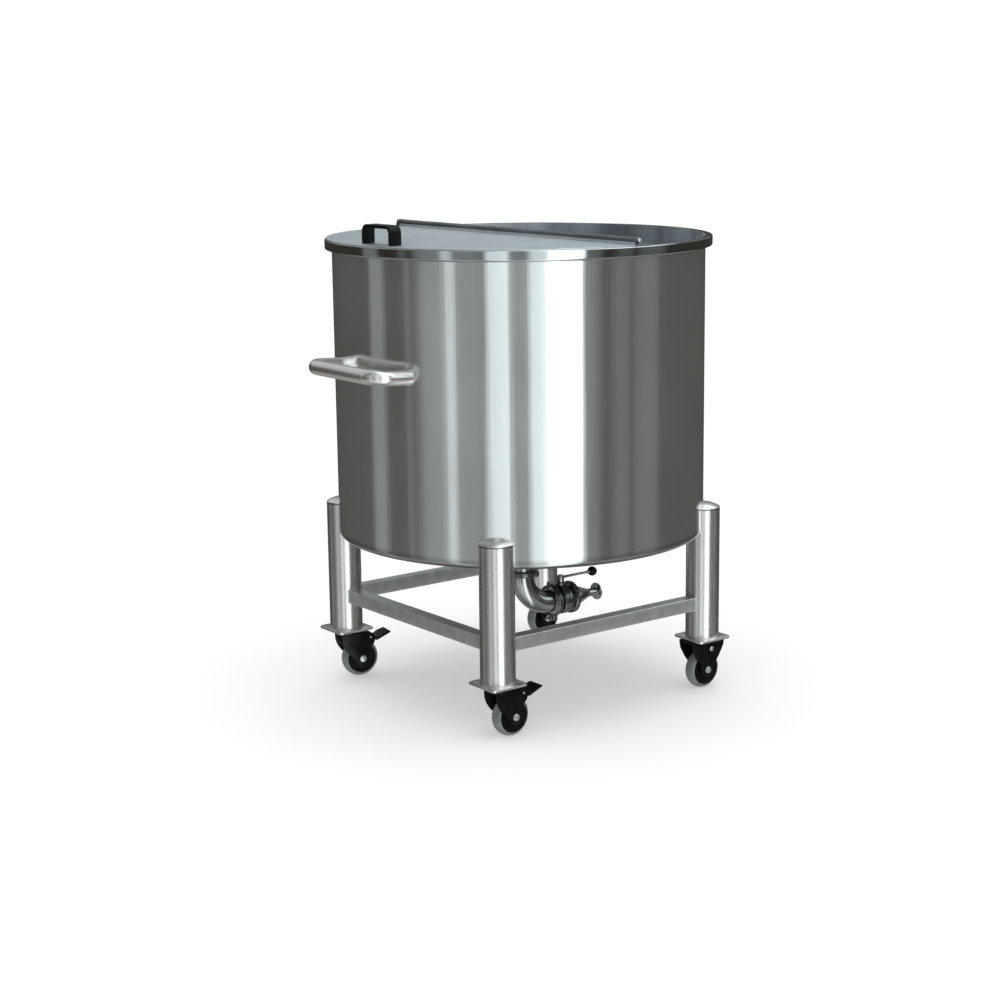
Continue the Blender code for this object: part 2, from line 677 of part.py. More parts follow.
def make_reducer(axis, steel):
    """The cone from the valve down to the small end ferrule, open at its nose."""
    start = VALVE_END + GAP
    profile = [
        (0, start), (FERRULE_R, start), (FERRULE_R, start + FERRULE_SHEET),
        (PIPE_R, start + FERRULE_SHEET), (PIPE_R, CONE_START), (NOSE_R + NOSE_STEP, CONE_END),
        (NOSE_R, CONE_END), (NOSE_R, NOSE_END - FERRULE_SHEET),
        (NOSE_FLANGE_R, NOSE_END - FERRULE_SHEET), (NOSE_FLANGE_R, NOSE_END),
        (NOSE_BORE, NOSE_END), (NOSE_BORE, CONE_START), (0, CONE_START),
    ]
    bm = turned(profile, PIPE_SIDES, closed=False)
    lay_along_x(bm)
    finish("outlet_reducer", bm, steel, axis, (0, 0, PIPE_Z))


def make_outlet(axis, steel, black):
    make_nozzle(axis, steel)
    make_clamp("clamp_nozzle", axis, steel, (0, 0, NOZZLE_END), False)
    make_elbow(axis, steel)
    make_clamp("clamp_elbow", axis, steel, (VALVE_START, 0, PIPE_Z), True)
    make_valve(axis, steel, black)
    make_clamp("clamp_valve", axis, steel, (VALVE_END, 0, PIPE_Z), True)
    make_reducer(axis, steel)


def main():
    clear_scene()
    steel = make_material("brushed_steel", (0.62, 0.62, 0.61), 0.28, 1.0)
    satin = make_material("satin_steel", (0.66, 0.68, 0.69), 0.40, 1.0)
    black = make_material("black_plastic", (0.018, 0.020, 0.022), 0.45, 0.0)
    grey = make_material("grey_tread", (0.52, 0.55, 0.56), 0.60, 0.0)
    axis = make_empty("tank_axis", None, (TANK_X, 0, 0))
    envelope = make_envelope(axis, steel)
    make_tank(axis, steel, satin)
    hinge = make_bridge(axis, steel)
    make_lid(axis, hinge, satin, black)
    make_push_handle(axis, steel, envelope)
    make_legs(axis, steel, envelope)
    make_rails(axis, steel)
    make_castors(axis, black, grey)
    make_outlet(axis, steel, black)


main()
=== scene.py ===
"""Looks of the mobile stainless steel tank: fine meshes, welds, castors, fittings and finishes.

Everything is in metres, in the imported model's frame. Pieces are modelled about the tank's own
axis, about a castor's stem or about a pipe, and are then put in their place in the mesh, so
that every object stays at the origin. The light is a plain studio: a white floor, a soft
light from above, and light and dark cards all round that the steel mirrors.
"""

import json
import math

import bmesh
import bpy
from mathutils import Matrix, Vector


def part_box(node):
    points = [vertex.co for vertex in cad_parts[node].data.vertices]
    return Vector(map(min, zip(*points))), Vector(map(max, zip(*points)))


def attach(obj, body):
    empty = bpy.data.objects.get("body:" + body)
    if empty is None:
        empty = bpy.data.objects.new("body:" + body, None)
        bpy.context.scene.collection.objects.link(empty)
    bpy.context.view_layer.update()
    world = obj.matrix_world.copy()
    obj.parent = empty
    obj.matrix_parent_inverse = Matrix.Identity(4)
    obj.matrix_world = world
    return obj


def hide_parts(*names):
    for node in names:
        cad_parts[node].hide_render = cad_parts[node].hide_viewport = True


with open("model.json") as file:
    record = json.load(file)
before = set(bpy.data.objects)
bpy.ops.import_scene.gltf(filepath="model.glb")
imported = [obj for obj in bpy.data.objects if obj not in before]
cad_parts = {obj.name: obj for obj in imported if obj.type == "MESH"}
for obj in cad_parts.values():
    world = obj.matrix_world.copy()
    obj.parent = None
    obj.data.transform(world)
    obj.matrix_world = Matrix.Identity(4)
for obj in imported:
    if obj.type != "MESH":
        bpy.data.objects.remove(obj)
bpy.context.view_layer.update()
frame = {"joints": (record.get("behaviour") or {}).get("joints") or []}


def span(node):
    """Middle and half size of a CAD node's box."""
    low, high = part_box(node)
    return (low + high) / 2, (high - low) / 2


# Shell, bottom and ring around the mouth
SHELL_MIDDLE, SHELL_HALF = span("shell")
AXIS = Vector((SHELL_MIDDLE.x, 0, 0))
SHELL_R = SHELL_HALF.x
RIM_TOP = SHELL_MIDDLE.z + SHELL_HALF.z
KNUCKLE_TOP = SHELL_MIDDLE.z - SHELL_HALF.z
WALL = 0.003
KNUCKLE_R = 0.012
BOTTOM_SLOPE = math.radians(10)
RIM_R = span("rim_ring")[1].x
RIM_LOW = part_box("rim_ring")[0].z
RING_CORNERS = (0.003, 0.002)
RING_FILLET = (0.0025, 0.0008)
SEAM_AT = math.radians(5)
SEAM_R = 0.0022
SEAM_FLAT = 0.25

# Gap between touching pieces, sides of round pieces, and what counts as one point or sharp
GAP = 0.0003
ROUND = 256
PIPE_SIDES = 96
BAR_SIDES = 48
ROD_SIDES = 32
PIN_SIDES = 24
SAME_POINT = 0.000001
SHARP = 35

# Lid, hinge and bridge
JOINTS = {joint["name"]: joint for joint in frame["joints"]}
HINGE = Vector(JOINTS["lid_hinge"]["pos_m"]) - AXIS
LID_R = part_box("lid")[1].y
LID_SHEET = 0.002
LID_TOP = RIM_TOP + GAP + LID_SHEET
LID_UPSTAND = 0.0075
LID_EDGE_X = -0.0255
BARREL_R = 0.005
PIN_R = 0.0025
BARREL_HALF = span("hinge_pin")[1].y
KNUCKLES = 9
BRIDGE_X = (-0.0245, 0.0155)
BRIDGE_SHEET = 0.003
BRIDGE_HALF = span("mouth_bridge")[1].y
BRIDGE_CORNER = 0.004
KNUCKLE_GAP = 0.0004
LEAF_SHEET = 0.0014
LEAF_OFF = 0.0006
PIN_HEAD_R = 0.0045
LUG_DROP = 0.012
LUG_RISE = 0.0052
LUG_HALF = 0.009
STRAP_SHEET = 0.007
STRAP_BEND = 0.016

# Push handle
PUSH_LOW, PUSH_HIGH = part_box("push_handle")
PUSH_R = 0.016
PUSH_HALF = PUSH_HIGH.y - PUSH_R
PUSH_X = PUSH_LOW.x - AXIS.x + PUSH_R
PUSH_Z = PUSH_HIGH.z - PUSH_R
PUSH_BEND = 0.036
PUSH_TILT = math.radians(3.5)
PUSH_START = SHELL_R * 0.93

# Legs, plates and rails
SIDES = ("rear_right", "rear_left", "front_right", "front_left")
LEG_R = span("leg_front_right")[1].x
LEG_TOP = 0.408
LEG_DOME = 0.011
CAP_SEAM = LEG_TOP - 0.0022
CAP_SEAM_HALF = 0.0016
CAP_STEPS = 16
PLATE_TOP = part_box("base_plate_front_right")[1].z
PLATE_CORNER = 0.009
RAIL_CORNER = 0.001
BEAD_R = 0.0014
RAIL_BEAD_R = 0.0013
BEAD_STEP = 0.0012
BEAD_RIPPLE = 0.16
CUT_REACH = 0.05

# Castors
WHEEL_R = 0.042
TREAD_INNER_R = 0.0305
TREAD_HALF = 0.0142
HUB_HALF = 0.0132
LIP_R = 0.034
CHEEK_INNER = 0.0192
CHEEK_SHEET = 0.002
CHEEK_OUTER = CHEEK_INNER + CHEEK_SHEET
FORK_HUB_R = 0.016
BOLT_END = 0.0268
TRAIL = 0.030
CROWN_LOW = 0.0978
CROWN_TOP = 0.1038
CUP_TOP = 0.1068
RACE_TOP = 0.1122
RACE_R = 0.029
PEDAL_PIN = (0.050, 0.0905)
SWIVEL_CROWN = (-0.0215, 0.049)
FIXED_CROWN_HALF = 0.049
FIXED_CROWN_SHEET = 0.0045
RIVET = (0.009, 0.089)
RIVET_R = 0.0058
RIVET_END = 0.0034
WASHER_R = 0.0078
AXLE_NUT = 0.0108
AXLE_R = 0.0034
PEDAL_PIN_R = 0.0025
SUNK = 0.0004

# Outlet, about the pipe's axis
PIPE_R = 0.0255
PIPE_BORE = 0.0235
PIPE_Z = span("valve_body")[0].z
FERRULE_R = 0.032
FERRULE_SHEET = 0.0045
CLAMP_R = 0.0365
CLAMP_HALF = 0.007
ELBOW_R = 0.076
NOZZLE_END = 0.2515
VALVE_START = 0.085
VALVE_END = 0.137
LEVER = Vector(JOINTS["valve_turn"]["pos_m"]) - AXIS
KNOB_X = 0.204
KNOB_R = 0.011
CONE_START = 0.147
CONE_END = 0.187
NOSE_R = 0.0095
NOSE_BORE = 0.0075
NOSE_FLANGE_R = 0.0195
NOSE_END = 0.218
NECK_R = 0.009
WING_SHEET = 0.0026
VALVE_R = 0.034
SCREW_RING_R = 0.0292
RIM_EDGE = 0.0005
PIPE_EDGE = 0.001


def leg_place(side):
    """Where a leg's axis meets the floor, about the tank's axis."""
    middle = span(f"leg_{side}")[0] - AXIS
    return Vector((middle.x, middle.y, 0))


# Shapes


def as_mesh(bm, name):
    mesh = bpy.data.meshes.new(name)
    bm.to_mesh(mesh)
    bm.free()
    return mesh


def stand(name, data):
    """A new object in the scene."""
    item = bpy.data.objects.new(name, data)
    bpy.context.scene.collection.objects.link(item)
    return item


def ring_line(radius, height, centre=(0, 0)):
    """Points of a level circle."""
    angles = [math.tau * step / BAR_SIDES for step in range(BAR_SIDES)]
    return [(centre[0] + radius * math.cos(a), centre[1] + radius * math.sin(a), height) for a in angles]


def rounded(corners, steps=4, closed=True):
    """An outline with arcs at its corners; a corner is (x, y) or (x, y, radius)."""
    points = []
    last = len(corners) - 1
    for index, corner in enumerate(corners):
        here = Vector(corner[:2])
        at_end = not closed and index in (0, last)
        if len(corner) < 3 or at_end:
            points.append(tuple(here))
            continue
        radius = corner[2]
        back = (Vector(corners[index - 1][:2]) - here).normalized()
        ahead = (Vector(corners[(index + 1) % len(corners)][:2]) - here).normalized()
        half = back.angle(ahead) / 2
        centre = here + (back + ahead).normalized() * radius / math.sin(half)
        first = here + back * radius / math.tan(half) - centre
        final = here + ahead * radius / math.tan(half) - centre
        turn = math.atan2(first.cross(final), first.dot(final))
        for step in range(steps + 1):
            angle = math.atan2(first.y, first.x) + turn * step / steps
            points.append((centre.x + radius * math.cos(angle), centre.y + radius * math.sin(angle)))
    return points


def oblong(half_width, half_height, corner, steps=4):
    """The outline of a rectangle about the origin, its corners rounded."""
    signs = ((1, 1), (-1, 1), (-1, -1), (1, -1))
    return rounded([(x * half_width, y * half_height, corner) for x, y in signs], steps)


def arc(centre, radius, start, end, steps):
    """Points on an arc in a plane, from one angle to another in degrees."""
    angles = [math.radians(start + (end - start) * step / steps) for step in range(steps + 1)]
    return [(centre[0] + radius * math.cos(a), centre[1] + radius * math.sin(a)) for a in angles]


def lathe(profile, steps=64, closed=True):
    """Spin a profile of (radius, height) points about Z."""
    bm = bmesh.new()
    verts = [bm.verts.new((radius, 0, height)) for radius, height in profile]
    edges = [bm.edges.new(pair) for pair in zip(verts, verts[1:])]
    if closed:
        edges.append(bm.edges.new((verts[-1], verts[0])))
    bmesh.ops.spin(
        bm, geom=verts + edges, cent=(0, 0, 0), axis=(0, 0, 1), dvec=(0, 0, 0),
        angle=math.tau, steps=steps, use_merge=True, use_duplicate=False,
    )
    return cleaned(bm)


def soften(bm, width, segments=2, angle=SHARP):
    """Round the edges that are sharper than an angle in degrees."""
    limit = math.radians(angle)
    edges = [e for e in bm.edges if len(e.link_faces) == 2 and e.calc_face_angle() > limit]
    bmesh.ops.bevel(
        bm, geom=edges, offset=width, offset_type="OFFSET", segments=segments,
        affect="EDGES", profile=0.5, material=-1, clamp_overlap=True,
    )
    return bm


def slab(outline, depth, edge=0.0, segments=2):
    """Push an outline of 3-D points along a vector and round its rims."""
    bm = bmesh.new()
    face = bm.faces.new([bm.verts.new(point) for point in outline])
    pushed = bmesh.ops.extrude_face_region(bm, geom=[face])
    moved = [part for part in pushed["geom"] if isinstance(part, bmesh.types.BMVert)]
    bmesh.ops.translate(bm, vec=depth, verts=moved)
    bmesh.ops.recalc_face_normals(bm, faces=bm.faces)
    if edge:
        soften(bm, edge, segments, angle=50)
    return bm


def block(low, high, edge=0.0, segments=3):
    """A box between two corners with rounded edges."""
    size = Vector(high) - Vector(low)
    middle = (Vector(high) + Vector(low)) / 2
    bm = bmesh.new()
    bmesh.ops.create_cube(bm, size=1, matrix=Matrix.Translation(middle) @ Matrix.Diagonal((*size, 1)))
    if edge:
        soften(bm, edge, segments)
    return bm


def pointed(start, along):
    """The place of a piece made about Z that starts at a point and runs along a vector."""
    return Matrix.Translation(start) @ along.to_track_quat("Z", "X").to_matrix().to_4x4()


def rod(radius, start, end, sides, edge=0.00001):
    """A round bar between two points with rounded ends."""
    start = Vector(start)
    along = Vector(end) - start
    edge = min(edge, radius * 0.9)
    length = along.length
    profile = rounded([(0, 0), (radius, 0, edge), (radius, length, edge), (0, length)], closed=False)
    return moved(lathe(profile, sides, closed=False), pointed(start, along))


def hexagon(across, start, end, edge=0.0006):
    """A hexagon nut or bolt head between two points, by its width across the flats."""
    start = Vector(start)
    along = Vector(end) - start
    radius = across / 2 / math.cos(math.pi / 6)
    bm = bmesh.new()
    bmesh.ops.create_cone(
        bm, cap_ends=True, segments=6, radius1=radius, radius2=radius,
        depth=along.length, matrix=pointed(start + along / 2, along),
    )
    return soften(bm, edge)


def moved(bm, matrix):
    bmesh.ops.transform(bm, matrix=matrix, verts=bm.verts)
    return bm


def put(bm, place):
    return moved(bm, Matrix.Translation(place))


def along_x(bm):
    """Lay a piece made about Z down, so that its axis runs along +X."""
    return moved(bm, Matrix.Rotation(math.pi / 2, 4, "Y"))


def along_y(bm):
    """Lay a piece made about Z down, so that its axis runs along +Y."""
    return moved(bm, Matrix.Rotation(-math.pi / 2, 4, "X"))


def gathered(*parts):
    """Several meshes in one, as separate closed bodies."""
    whole = bmesh.new()
    for part in parts:
        mesh = as_mesh(part, "part")
        whole.from_mesh(mesh)
        bpy.data.meshes.remove(mesh)
    return whole


def cleaned(bm):
    """Merge points that coincide and turn the faces outwards."""
    bmesh.ops.remove_doubles(bm, verts=bm.verts, dist=SAME_POINT)
    bmesh.ops.recalc_face_normals(bm, faces=bm.faces)
    return bm


def tube(points, radius, sides=12, closed=False, ripple=0.0):
    """A tube along 3-D points, by a bevelled curve; ripple swells every third point."""
    curve = bpy.data.curves.new("tube", "CURVE")
    curve.dimensions = "3D"
    curve.bevel_depth = radius
    curve.bevel_resolution = sides // 2 - 2
    curve.use_fill_caps = not closed
    spline = curve.splines.new("POLY")
    spline.points.add(len(points) - 1)
    for index, (target, point) in enumerate(zip(spline.points, points)):
        target.co = (*point, 1)
        target.radius = 1 + (ripple if index % 3 == 0 else 0)
    spline.use_cyclic_u = closed
    holder = bpy.data.objects.new("tube", curve)
    mesh = bpy.data.meshes.new_from_object(holder)
    bm = bmesh.new()
    bm.from_mesh(mesh)
    bpy.data.objects.remove(holder)
    bpy.data.curves.remove(curve)
    bpy.data.meshes.remove(mesh)
    return cleaned(bm)


def spaced(points, step):
    """The same closed route with points a step apart, for a bead's ripples."""
    route = [Vector(point) for point in (*points, points[0])]
    result = []
    left = 0.0
    for start, end in zip(route, route[1:]):
        length = (end - start).length
        while left < length:
            result.append(start.lerp(end, left / length))
            left += step
        left -= length
    return result


def bead(points, radius=BEAD_R):
    """A closed weld bead with fine ripples."""
    return tube(spaced(points, BEAD_STEP), radius, 8, closed=True, ripple=BEAD_RIPPLE)


def carve(bm, *cutters, operation="DIFFERENCE"):
    """Cut closed meshes away from another, or join them to it."""
    body = stand("carved", as_mesh(bm, "carved"))
    tools = [stand("cutter", as_mesh(cutter, "cutter")) for cutter in cutters]
    for tool in tools:
        modifier = body.modifiers.new("carve", "BOOLEAN")
        modifier.operation = operation
        modifier.solver = "EXACT"
        modifier.object = tool
    bpy.context.view_layer.update()
    shown = body.evaluated_get(bpy.context.evaluated_depsgraph_get())
    result = bmesh.new()
    result.from_mesh(shown.data)
    for item in (body, *tools):
        mesh = item.data
        bpy.data.objects.remove(item)
        bpy.data.meshes.remove(mesh)
    bmesh.ops.remove_doubles(result, verts=result.verts, dist=SAME_POINT)
    return result


def piece(name, bm, finish, *nodes, body="tank", slot="brushed_steel", place=None):
    """The finished object in its place, riding on its body and standing for its nodes."""
    moved(bm, Matrix.Translation(AXIS) @ (place or Matrix()))
    mesh = as_mesh(bm, name)
    mesh.shade_smooth()
    mesh.set_sharp_from_angle(angle=math.radians(SHARP))
    mesh.materials.append(finish)
    item = stand(name, mesh)
    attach(item, body)
    if nodes:
        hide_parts(*nodes)


# Finishes


def blank(name, metallic, roughness):
    material = bpy.data.materials.new(name)
    material.use_nodes = True
    shader = material.node_tree.nodes["Principled BSDF"]
    shader.inputs["Metallic"].default_value = metallic
    shader.inputs["Roughness"].default_value = roughness
    return material, material.node_tree, shader


def feed(tree, node, sockets):
    """Give a node's sockets values, or feed them from other nodes."""
    for key, value in sockets.items():
        if isinstance(value, bpy.types.NodeSocket):
            tree.links.new(value, node.inputs[key])
        else:
            node.inputs[key].default_value = value
    return node


def noise(tree, scale, detail=3, roughness=0.5):
    """Noise on the object's own coordinates, stretched by a scale along each axis."""
    place = tree.nodes.new("ShaderNodeTexCoord").outputs["Object"]
    mapping = feed(tree, tree.nodes.new("ShaderNodeMapping"), {"Scale": scale, "Vector": place})
    texture = feed(tree, tree.nodes.new("ShaderNodeTexNoise"), {
        "Scale": 1, "Detail": detail, "Roughness": roughness, "Vector": mapping.outputs["Vector"],
    })
    return texture.outputs["Fac"]


def spread(tree, value, low, high, start=0.3, end=0.7):
    """Map a noise's middle range to values from low to high."""
    node = feed(tree, tree.nodes.new("ShaderNodeMapRange"), {
        "From Min": start, "From Max": end, "To Min": low, "To Max": high, "Value": value,
    })
    return node.outputs["Result"]


def step_up(tree, value, start, end):
    """A smooth step from 0 to 1."""
    result = spread(tree, value, 0, 1, start, end)
    result.node.interpolation_type = "SMOOTHSTEP"
    return result


def between(tree, value, first, second):
    """Mix two colours by a value."""
    node = tree.nodes.new("ShaderNodeMix")
    node.data_type = "RGBA"
    feed(tree, node, {0: value, 6: (*first, 1), 7: (*second, 1)})
    return node.outputs[2]


def relief(tree, value, distance, below=None):
    """A bump of a real height in metres, over another one if given."""
    node = feed(tree, tree.nodes.new("ShaderNodeBump"), {"Distance": distance, "Height": value})
    if below:
        feed(tree, node, {"Normal": below})
    return node.outputs["Normal"]


def height_of(tree, place):
    """The height in a direction or a place."""
    split = feed(tree, tree.nodes.new("ShaderNodeSeparateXYZ"), {0: place})
    return split.outputs["Z"]


def darker_below(tree, colour, dull, start, end):
    """Fade a colour to a dull one, a painted shade, from one height down to another."""
    height = height_of(tree, tree.nodes.new("ShaderNodeTexCoord").outputs["Object"])
    fade = between(tree, spread(tree, height, 0, 1, end, start), dull, dull)
    feed(tree, fade.node, {7: colour})
    return fade


def steel(name, colours, roughness, grain, metallic=1.0, roughness_spread=0.04, scratch=0.000006,
          waves=(), cloud_scale=(9, 9, 5), painted_shade_edge=None):
    """Stainless steel with a drawn grain, soft cloudiness and, on sheet, a slight waviness.

    A brushed face scatters some light all ways, which a metallic value below 1 stands for. A
    painted shade edge is a dark colour and the heights between which the steel fades to it, as shade.
    """
    material, tree, shader = blank(name, metallic, roughness)
    fine = noise(tree, grain, detail=4, roughness=0.65)
    cloud = noise(tree, cloud_scale, detail=3)
    colour = between(tree, spread(tree, cloud, 0, 1), *colours)
    if painted_shade_edge:
        colour = darker_below(tree, colour, *painted_shade_edge)
    rough = spread(tree, fine, roughness - roughness_spread, roughness + roughness_spread)
    below = None
    for scale, height in waves:
        below = relief(tree, noise(tree, scale, detail=1), height, below)
    surface = relief(tree, fine, scratch, below)
    feed(tree, shader, {"Base Color": colour, "Roughness": rough, "Normal": surface})
    return material


def weld_steel():
    """Bright weld metal with a faint straw and blue heat tint."""
    material, tree, shader = blank("weld bead", 0.9, 0.30)
    tint = spread(tree, noise(tree, (60, 60, 60), detail=2), 0, 1)
    feed(tree, shader, {
        "Base Color": between(tree, tint, (0.50, 0.48, 0.42), (0.40, 0.42, 0.46)),
        "Roughness": spread(tree, noise(tree, (900, 900, 900)), 0.22, 0.40),
    })
    return material


def black(name, roughness, grain_size, height, gloss):
    """Black plastic or paint with a fine grain and slightly paler worn patches."""
    material, tree, shader = blank(name, 0.0, roughness)
    grain = noise(tree, (grain_size,) * 3, detail=2)
    wear = noise(tree, (55, 55, 55), detail=5, roughness=0.7)
    feed(tree, shader, {
        "Base Color": between(tree, spread(tree, wear, 0, 1, 0.45, 0.75), *BLACKS),
        "Roughness": spread(tree, wear, roughness - 0.06, roughness + 0.08),
        "Normal": relief(tree, grain, height),
    })
    shader.inputs["Specular IOR Level"].default_value = gloss
    return material


def tread_rubber():
    """Grey elastic tread, a little dusty where it rolls."""
    material, tree, shader = blank("grey tread rubber", 0.0, 0.32)
    mottle = noise(tree, (70, 70, 70), detail=5, roughness=0.7)
    feed(tree, shader, {
        "Base Color": between(tree, spread(tree, mottle, 0, 1), (0.13, 0.145, 0.15), (0.22, 0.24, 0.245)),
        "Roughness": spread(tree, mottle, 0.26, 0.40),
        "Normal": relief(tree, noise(tree, (900, 900, 900)), 0.00003),
    })
    return material


BLACKS = ((0.0015, 0.0017, 0.0019), (0.005, 0.0054, 0.006))
# The shell steel fades to dark grey round the bottom knuckle: a painted shade for the shaded floor that the
# knuckle mirrors.
SHELL_STEEL = steel(
    "drawn shell steel", ((0.60, 0.60, 0.585), (0.66, 0.66, 0.65)), 0.13, (700, 700, 5), metallic=0.88,
    waves=(((9, 9, 0.25), 0.0007), ((48, 48, 0.5), 0.00022), ((130, 130, 0.6), 0.00004)),
    painted_shade_edge=((0.10, 0.10, 0.098), KNUCKLE_TOP + 0.010, KNUCKLE_TOP - KNUCKLE_R),
)
INNER_STEEL = steel(
    "inside shell steel", ((0.37, 0.41, 0.46), (0.86, 0.92, 0.98)), 0.30, (300, 300, 5), metallic=0.66,
    roughness_spread=0.015, scratch=0.0000005, waves=(((7, 7, 0.3), 0.0010),), cloud_scale=(11, 11, 0.5),
)
# The bottom's steel is coloured dark as a painted shade: the tank's underside lies in its own shade, and
# the rail tops mirror it dark.
BOTTOM_STEEL_PAINTED_SHADE = steel(
    "dull bottom steel in painted shade", ((0.17, 0.175, 0.175), (0.24, 0.245, 0.245)), 0.34, (60, 60, 60), metallic=0.95,
)
RING_STEEL = steel("ring steel", ((0.42, 0.43, 0.43), (0.50, 0.51, 0.51)), 0.10, (90, 90, 900))
TUBE_STEEL = steel(
    "leg tube steel", ((0.64, 0.60, 0.58), (0.71, 0.67, 0.65)), 0.27, (900, 900, 12), metallic=0.94,
    scratch=0.0000015, waves=(((90, 90, 0.8), 0.00006),),
)
HANDLE_STEEL = steel(
    "handle tube steel", ((0.66, 0.62, 0.60), (0.72, 0.68, 0.66)), 0.26, (400, 400, 400), metallic=0.94,
    roughness_spread=0.02, scratch=0.000001,
)
RAIL_STEEL = steel(
    "rail steel", ((0.54, 0.54, 0.53), (0.68, 0.68, 0.67)), 0.30, (300, 300, 300), metallic=0.78,
    roughness_spread=0.02, scratch=0.000001, cloud_scale=(40, 40, 40),
)
LID_STEEL = steel(
    "satin lid steel", ((0.52, 0.555, 0.58), (0.60, 0.635, 0.66)), 0.44, (6, 500, 500), metallic=0.76,
    scratch=0.000001, waves=(((5, 5, 5), 0.0006),),
)
# For the hinge, the bridge and the ring's weld, and for the seams under the leg caps, where its dark tone
# is a painted shade filling the groove
DULL_STEEL_AND_SEAM_SHADE = steel("dull hinge steel", ((0.16, 0.165, 0.18), (0.24, 0.245, 0.26)), 0.34, (200, 8, 200))
# Its base is kept dark partly as painted shade: the fittings under the tank would mirror a floor darkened
# by the tank's shadow.
BRIGHT_STEEL = steel(
    "polished fitting steel", ((0.30, 0.30, 0.295), (0.38, 0.38, 0.375)), 0.17, (300, 300, 300),
    scratch=0.000002,
)
ZINC = steel("zinc bolt", ((0.52, 0.53, 0.54), (0.62, 0.62, 0.62)), 0.30, (400, 400, 400))
# The valve and clamp steel is coloured near black as a painted shade: the fittings sit in the tank's shade
# and mirror its dark underside.
VALVE_STEEL_PAINTED_SHADE = steel(
    "cast valve steel in painted shade", ((0.13, 0.13, 0.128), (0.22, 0.22, 0.215)), 0.24, (300, 300, 300),
    scratch=0.000002, cloud_scale=(60, 60, 60),
)
WELD = weld_steel()
FORK_BLACK = black("black fork paint", 0.34, 700, 0.00001, gloss=0.18)
MOULDED_BLACK = black("black moulded plastic", 0.42, 1500, 0.00002, gloss=0.15)
STRAP_BLACK = black("black strap plastic", 0.36, 1100, 0.00002, gloss=0.12)
TREAD = tread_rubber()


# Tank


def bottom_line(offset, inner_r, steps=8):
    """The bottom's section from its seam inwards, offset outwards from the outer surface."""
    centre = (SHELL_R - KNUCKLE_R, KNUCKLE_TOP)
    points = arc(centre, KNUCKLE_R + offset, 0, math.degrees(BOTTOM_SLOPE) - 90, steps)
    r_end, z_end = points[-1]
    points.append((inner_r, z_end - (r_end - inner_r) * math.tan(BOTTOM_SLOPE)))
    return points


def bottom_height(radius):
    """Height of the bottom's outer surface at a distance from the tank's axis."""
    knuckle = bottom_line(0, 0)
    r_end, z_end = knuckle[-2]
    if radius < r_end:
        return z_end - (r_end - radius) * math.tan(BOTTOM_SLOPE)
    across = min(max((radius - (SHELL_R - KNUCKLE_R)) / KNUCKLE_R, -1), 1)
    return KNUCKLE_TOP - KNUCKLE_R * math.sqrt(1 - across * across)


def envelope():
    """The space the tank fills, to trim what is welded to it."""
    profile = bottom_line(0, 0)[::-1] + [(SHELL_R, RIM_TOP), (0, RIM_TOP)]
    return lathe(profile, ROUND, closed=False)


def make_shell():
    for name, radius, finish, nodes in (("shell_wall", SHELL_R, SHELL_STEEL, ("shell",)),
                                        ("shell_inside", SHELL_R - WALL / 2, INNER_STEEL, ())):
        inner = radius - WALL / 2
        wall = [(radius, KNUCKLE_TOP), (radius, RIM_TOP), (inner, RIM_TOP), (inner, KNUCKLE_TOP)]
        piece(name, lathe(wall, ROUND), finish, *nodes)
    skin = bottom_line(0, PIPE_R)[:-1] + bottom_line(-WALL / 2, PIPE_R)[-2::-1]
    piece("bottom_knuckle", lathe(skin, ROUND), SHELL_STEEL)
    under = bottom_line(-WALL / 2, PIPE_R)[:-1] + bottom_line(0, PIPE_R)[-2:]
    dish = under + bottom_line(-WALL, PIPE_R)[::-1]
    piece("bottom_dish", lathe(dish, ROUND), BOTTOM_STEEL_PAINTED_SHADE, "bottom_head", slot="satin_steel")
    for name, radius, finish in (("outside", SHELL_R, WELD), ("inside", SHELL_R - WALL, INNER_STEEL)):
        at = Vector((radius * math.cos(SEAM_AT), radius * math.sin(SEAM_AT), 0))
        points = [at + Vector((0, 0, z)) for z in (KNUCKLE_TOP, (KNUCKLE_TOP + RIM_LOW) / 2, RIM_LOW)]
        seam = tube(points, SEAM_R, 12)
        turn = Matrix.Rotation(SEAM_AT, 4, "Z")
        flat = turn @ Matrix.Diagonal((SEAM_FLAT, 1, 1, 1)) @ turn.inverted()
        moved(seam, Matrix.Translation(at) @ flat @ Matrix.Translation(-at))
        piece(f"seam_{name}", seam, finish)


def make_rim():
    low, top = RING_CORNERS
    ring = rounded([
        (SHELL_R, RIM_LOW), (RIM_R, RIM_LOW, low), (RIM_R, RIM_TOP, top), (SHELL_R, RIM_TOP),
    ], steps=6)
    piece("mouth_ring", lathe(ring, ROUND), RING_STEEL, "rim_ring")
    wide, waist = RING_FILLET
    fillet = [(SHELL_R, RIM_LOW), (SHELL_R + wide, RIM_LOW), (SHELL_R + waist, RIM_LOW - waist),
              (SHELL_R, RIM_LOW - wide)]
    piece("ring_weld", lathe(fillet, ROUND), DULL_STEEL_AND_SEAM_SHADE)


# Lid, hinge and handle


def make_lid():
    corner = math.degrees(math.acos(LID_EDGE_X / LID_R))
    low = LID_TOP - LID_SHEET
    outline = [(x, y, low) for x, y in arc((0, 0), LID_R, corner, 360 - corner, 128)]
    plate = slab(outline, (0, 0, LID_SHEET), 0.0005)
    half = math.sqrt(LID_R ** 2 - LID_EDGE_X ** 2) - 0.002
    top = low + LID_UPSTAND
    wall = block((LID_EDGE_X - LID_SHEET, -half, low + LID_SHEET / 2), (LID_EDGE_X, half, top), 0.0006)
    piece("lid_sheet", carve(plate, wall, operation="UNION"), LID_STEEL, "lid",
          body="lid", slot="satin_steel")


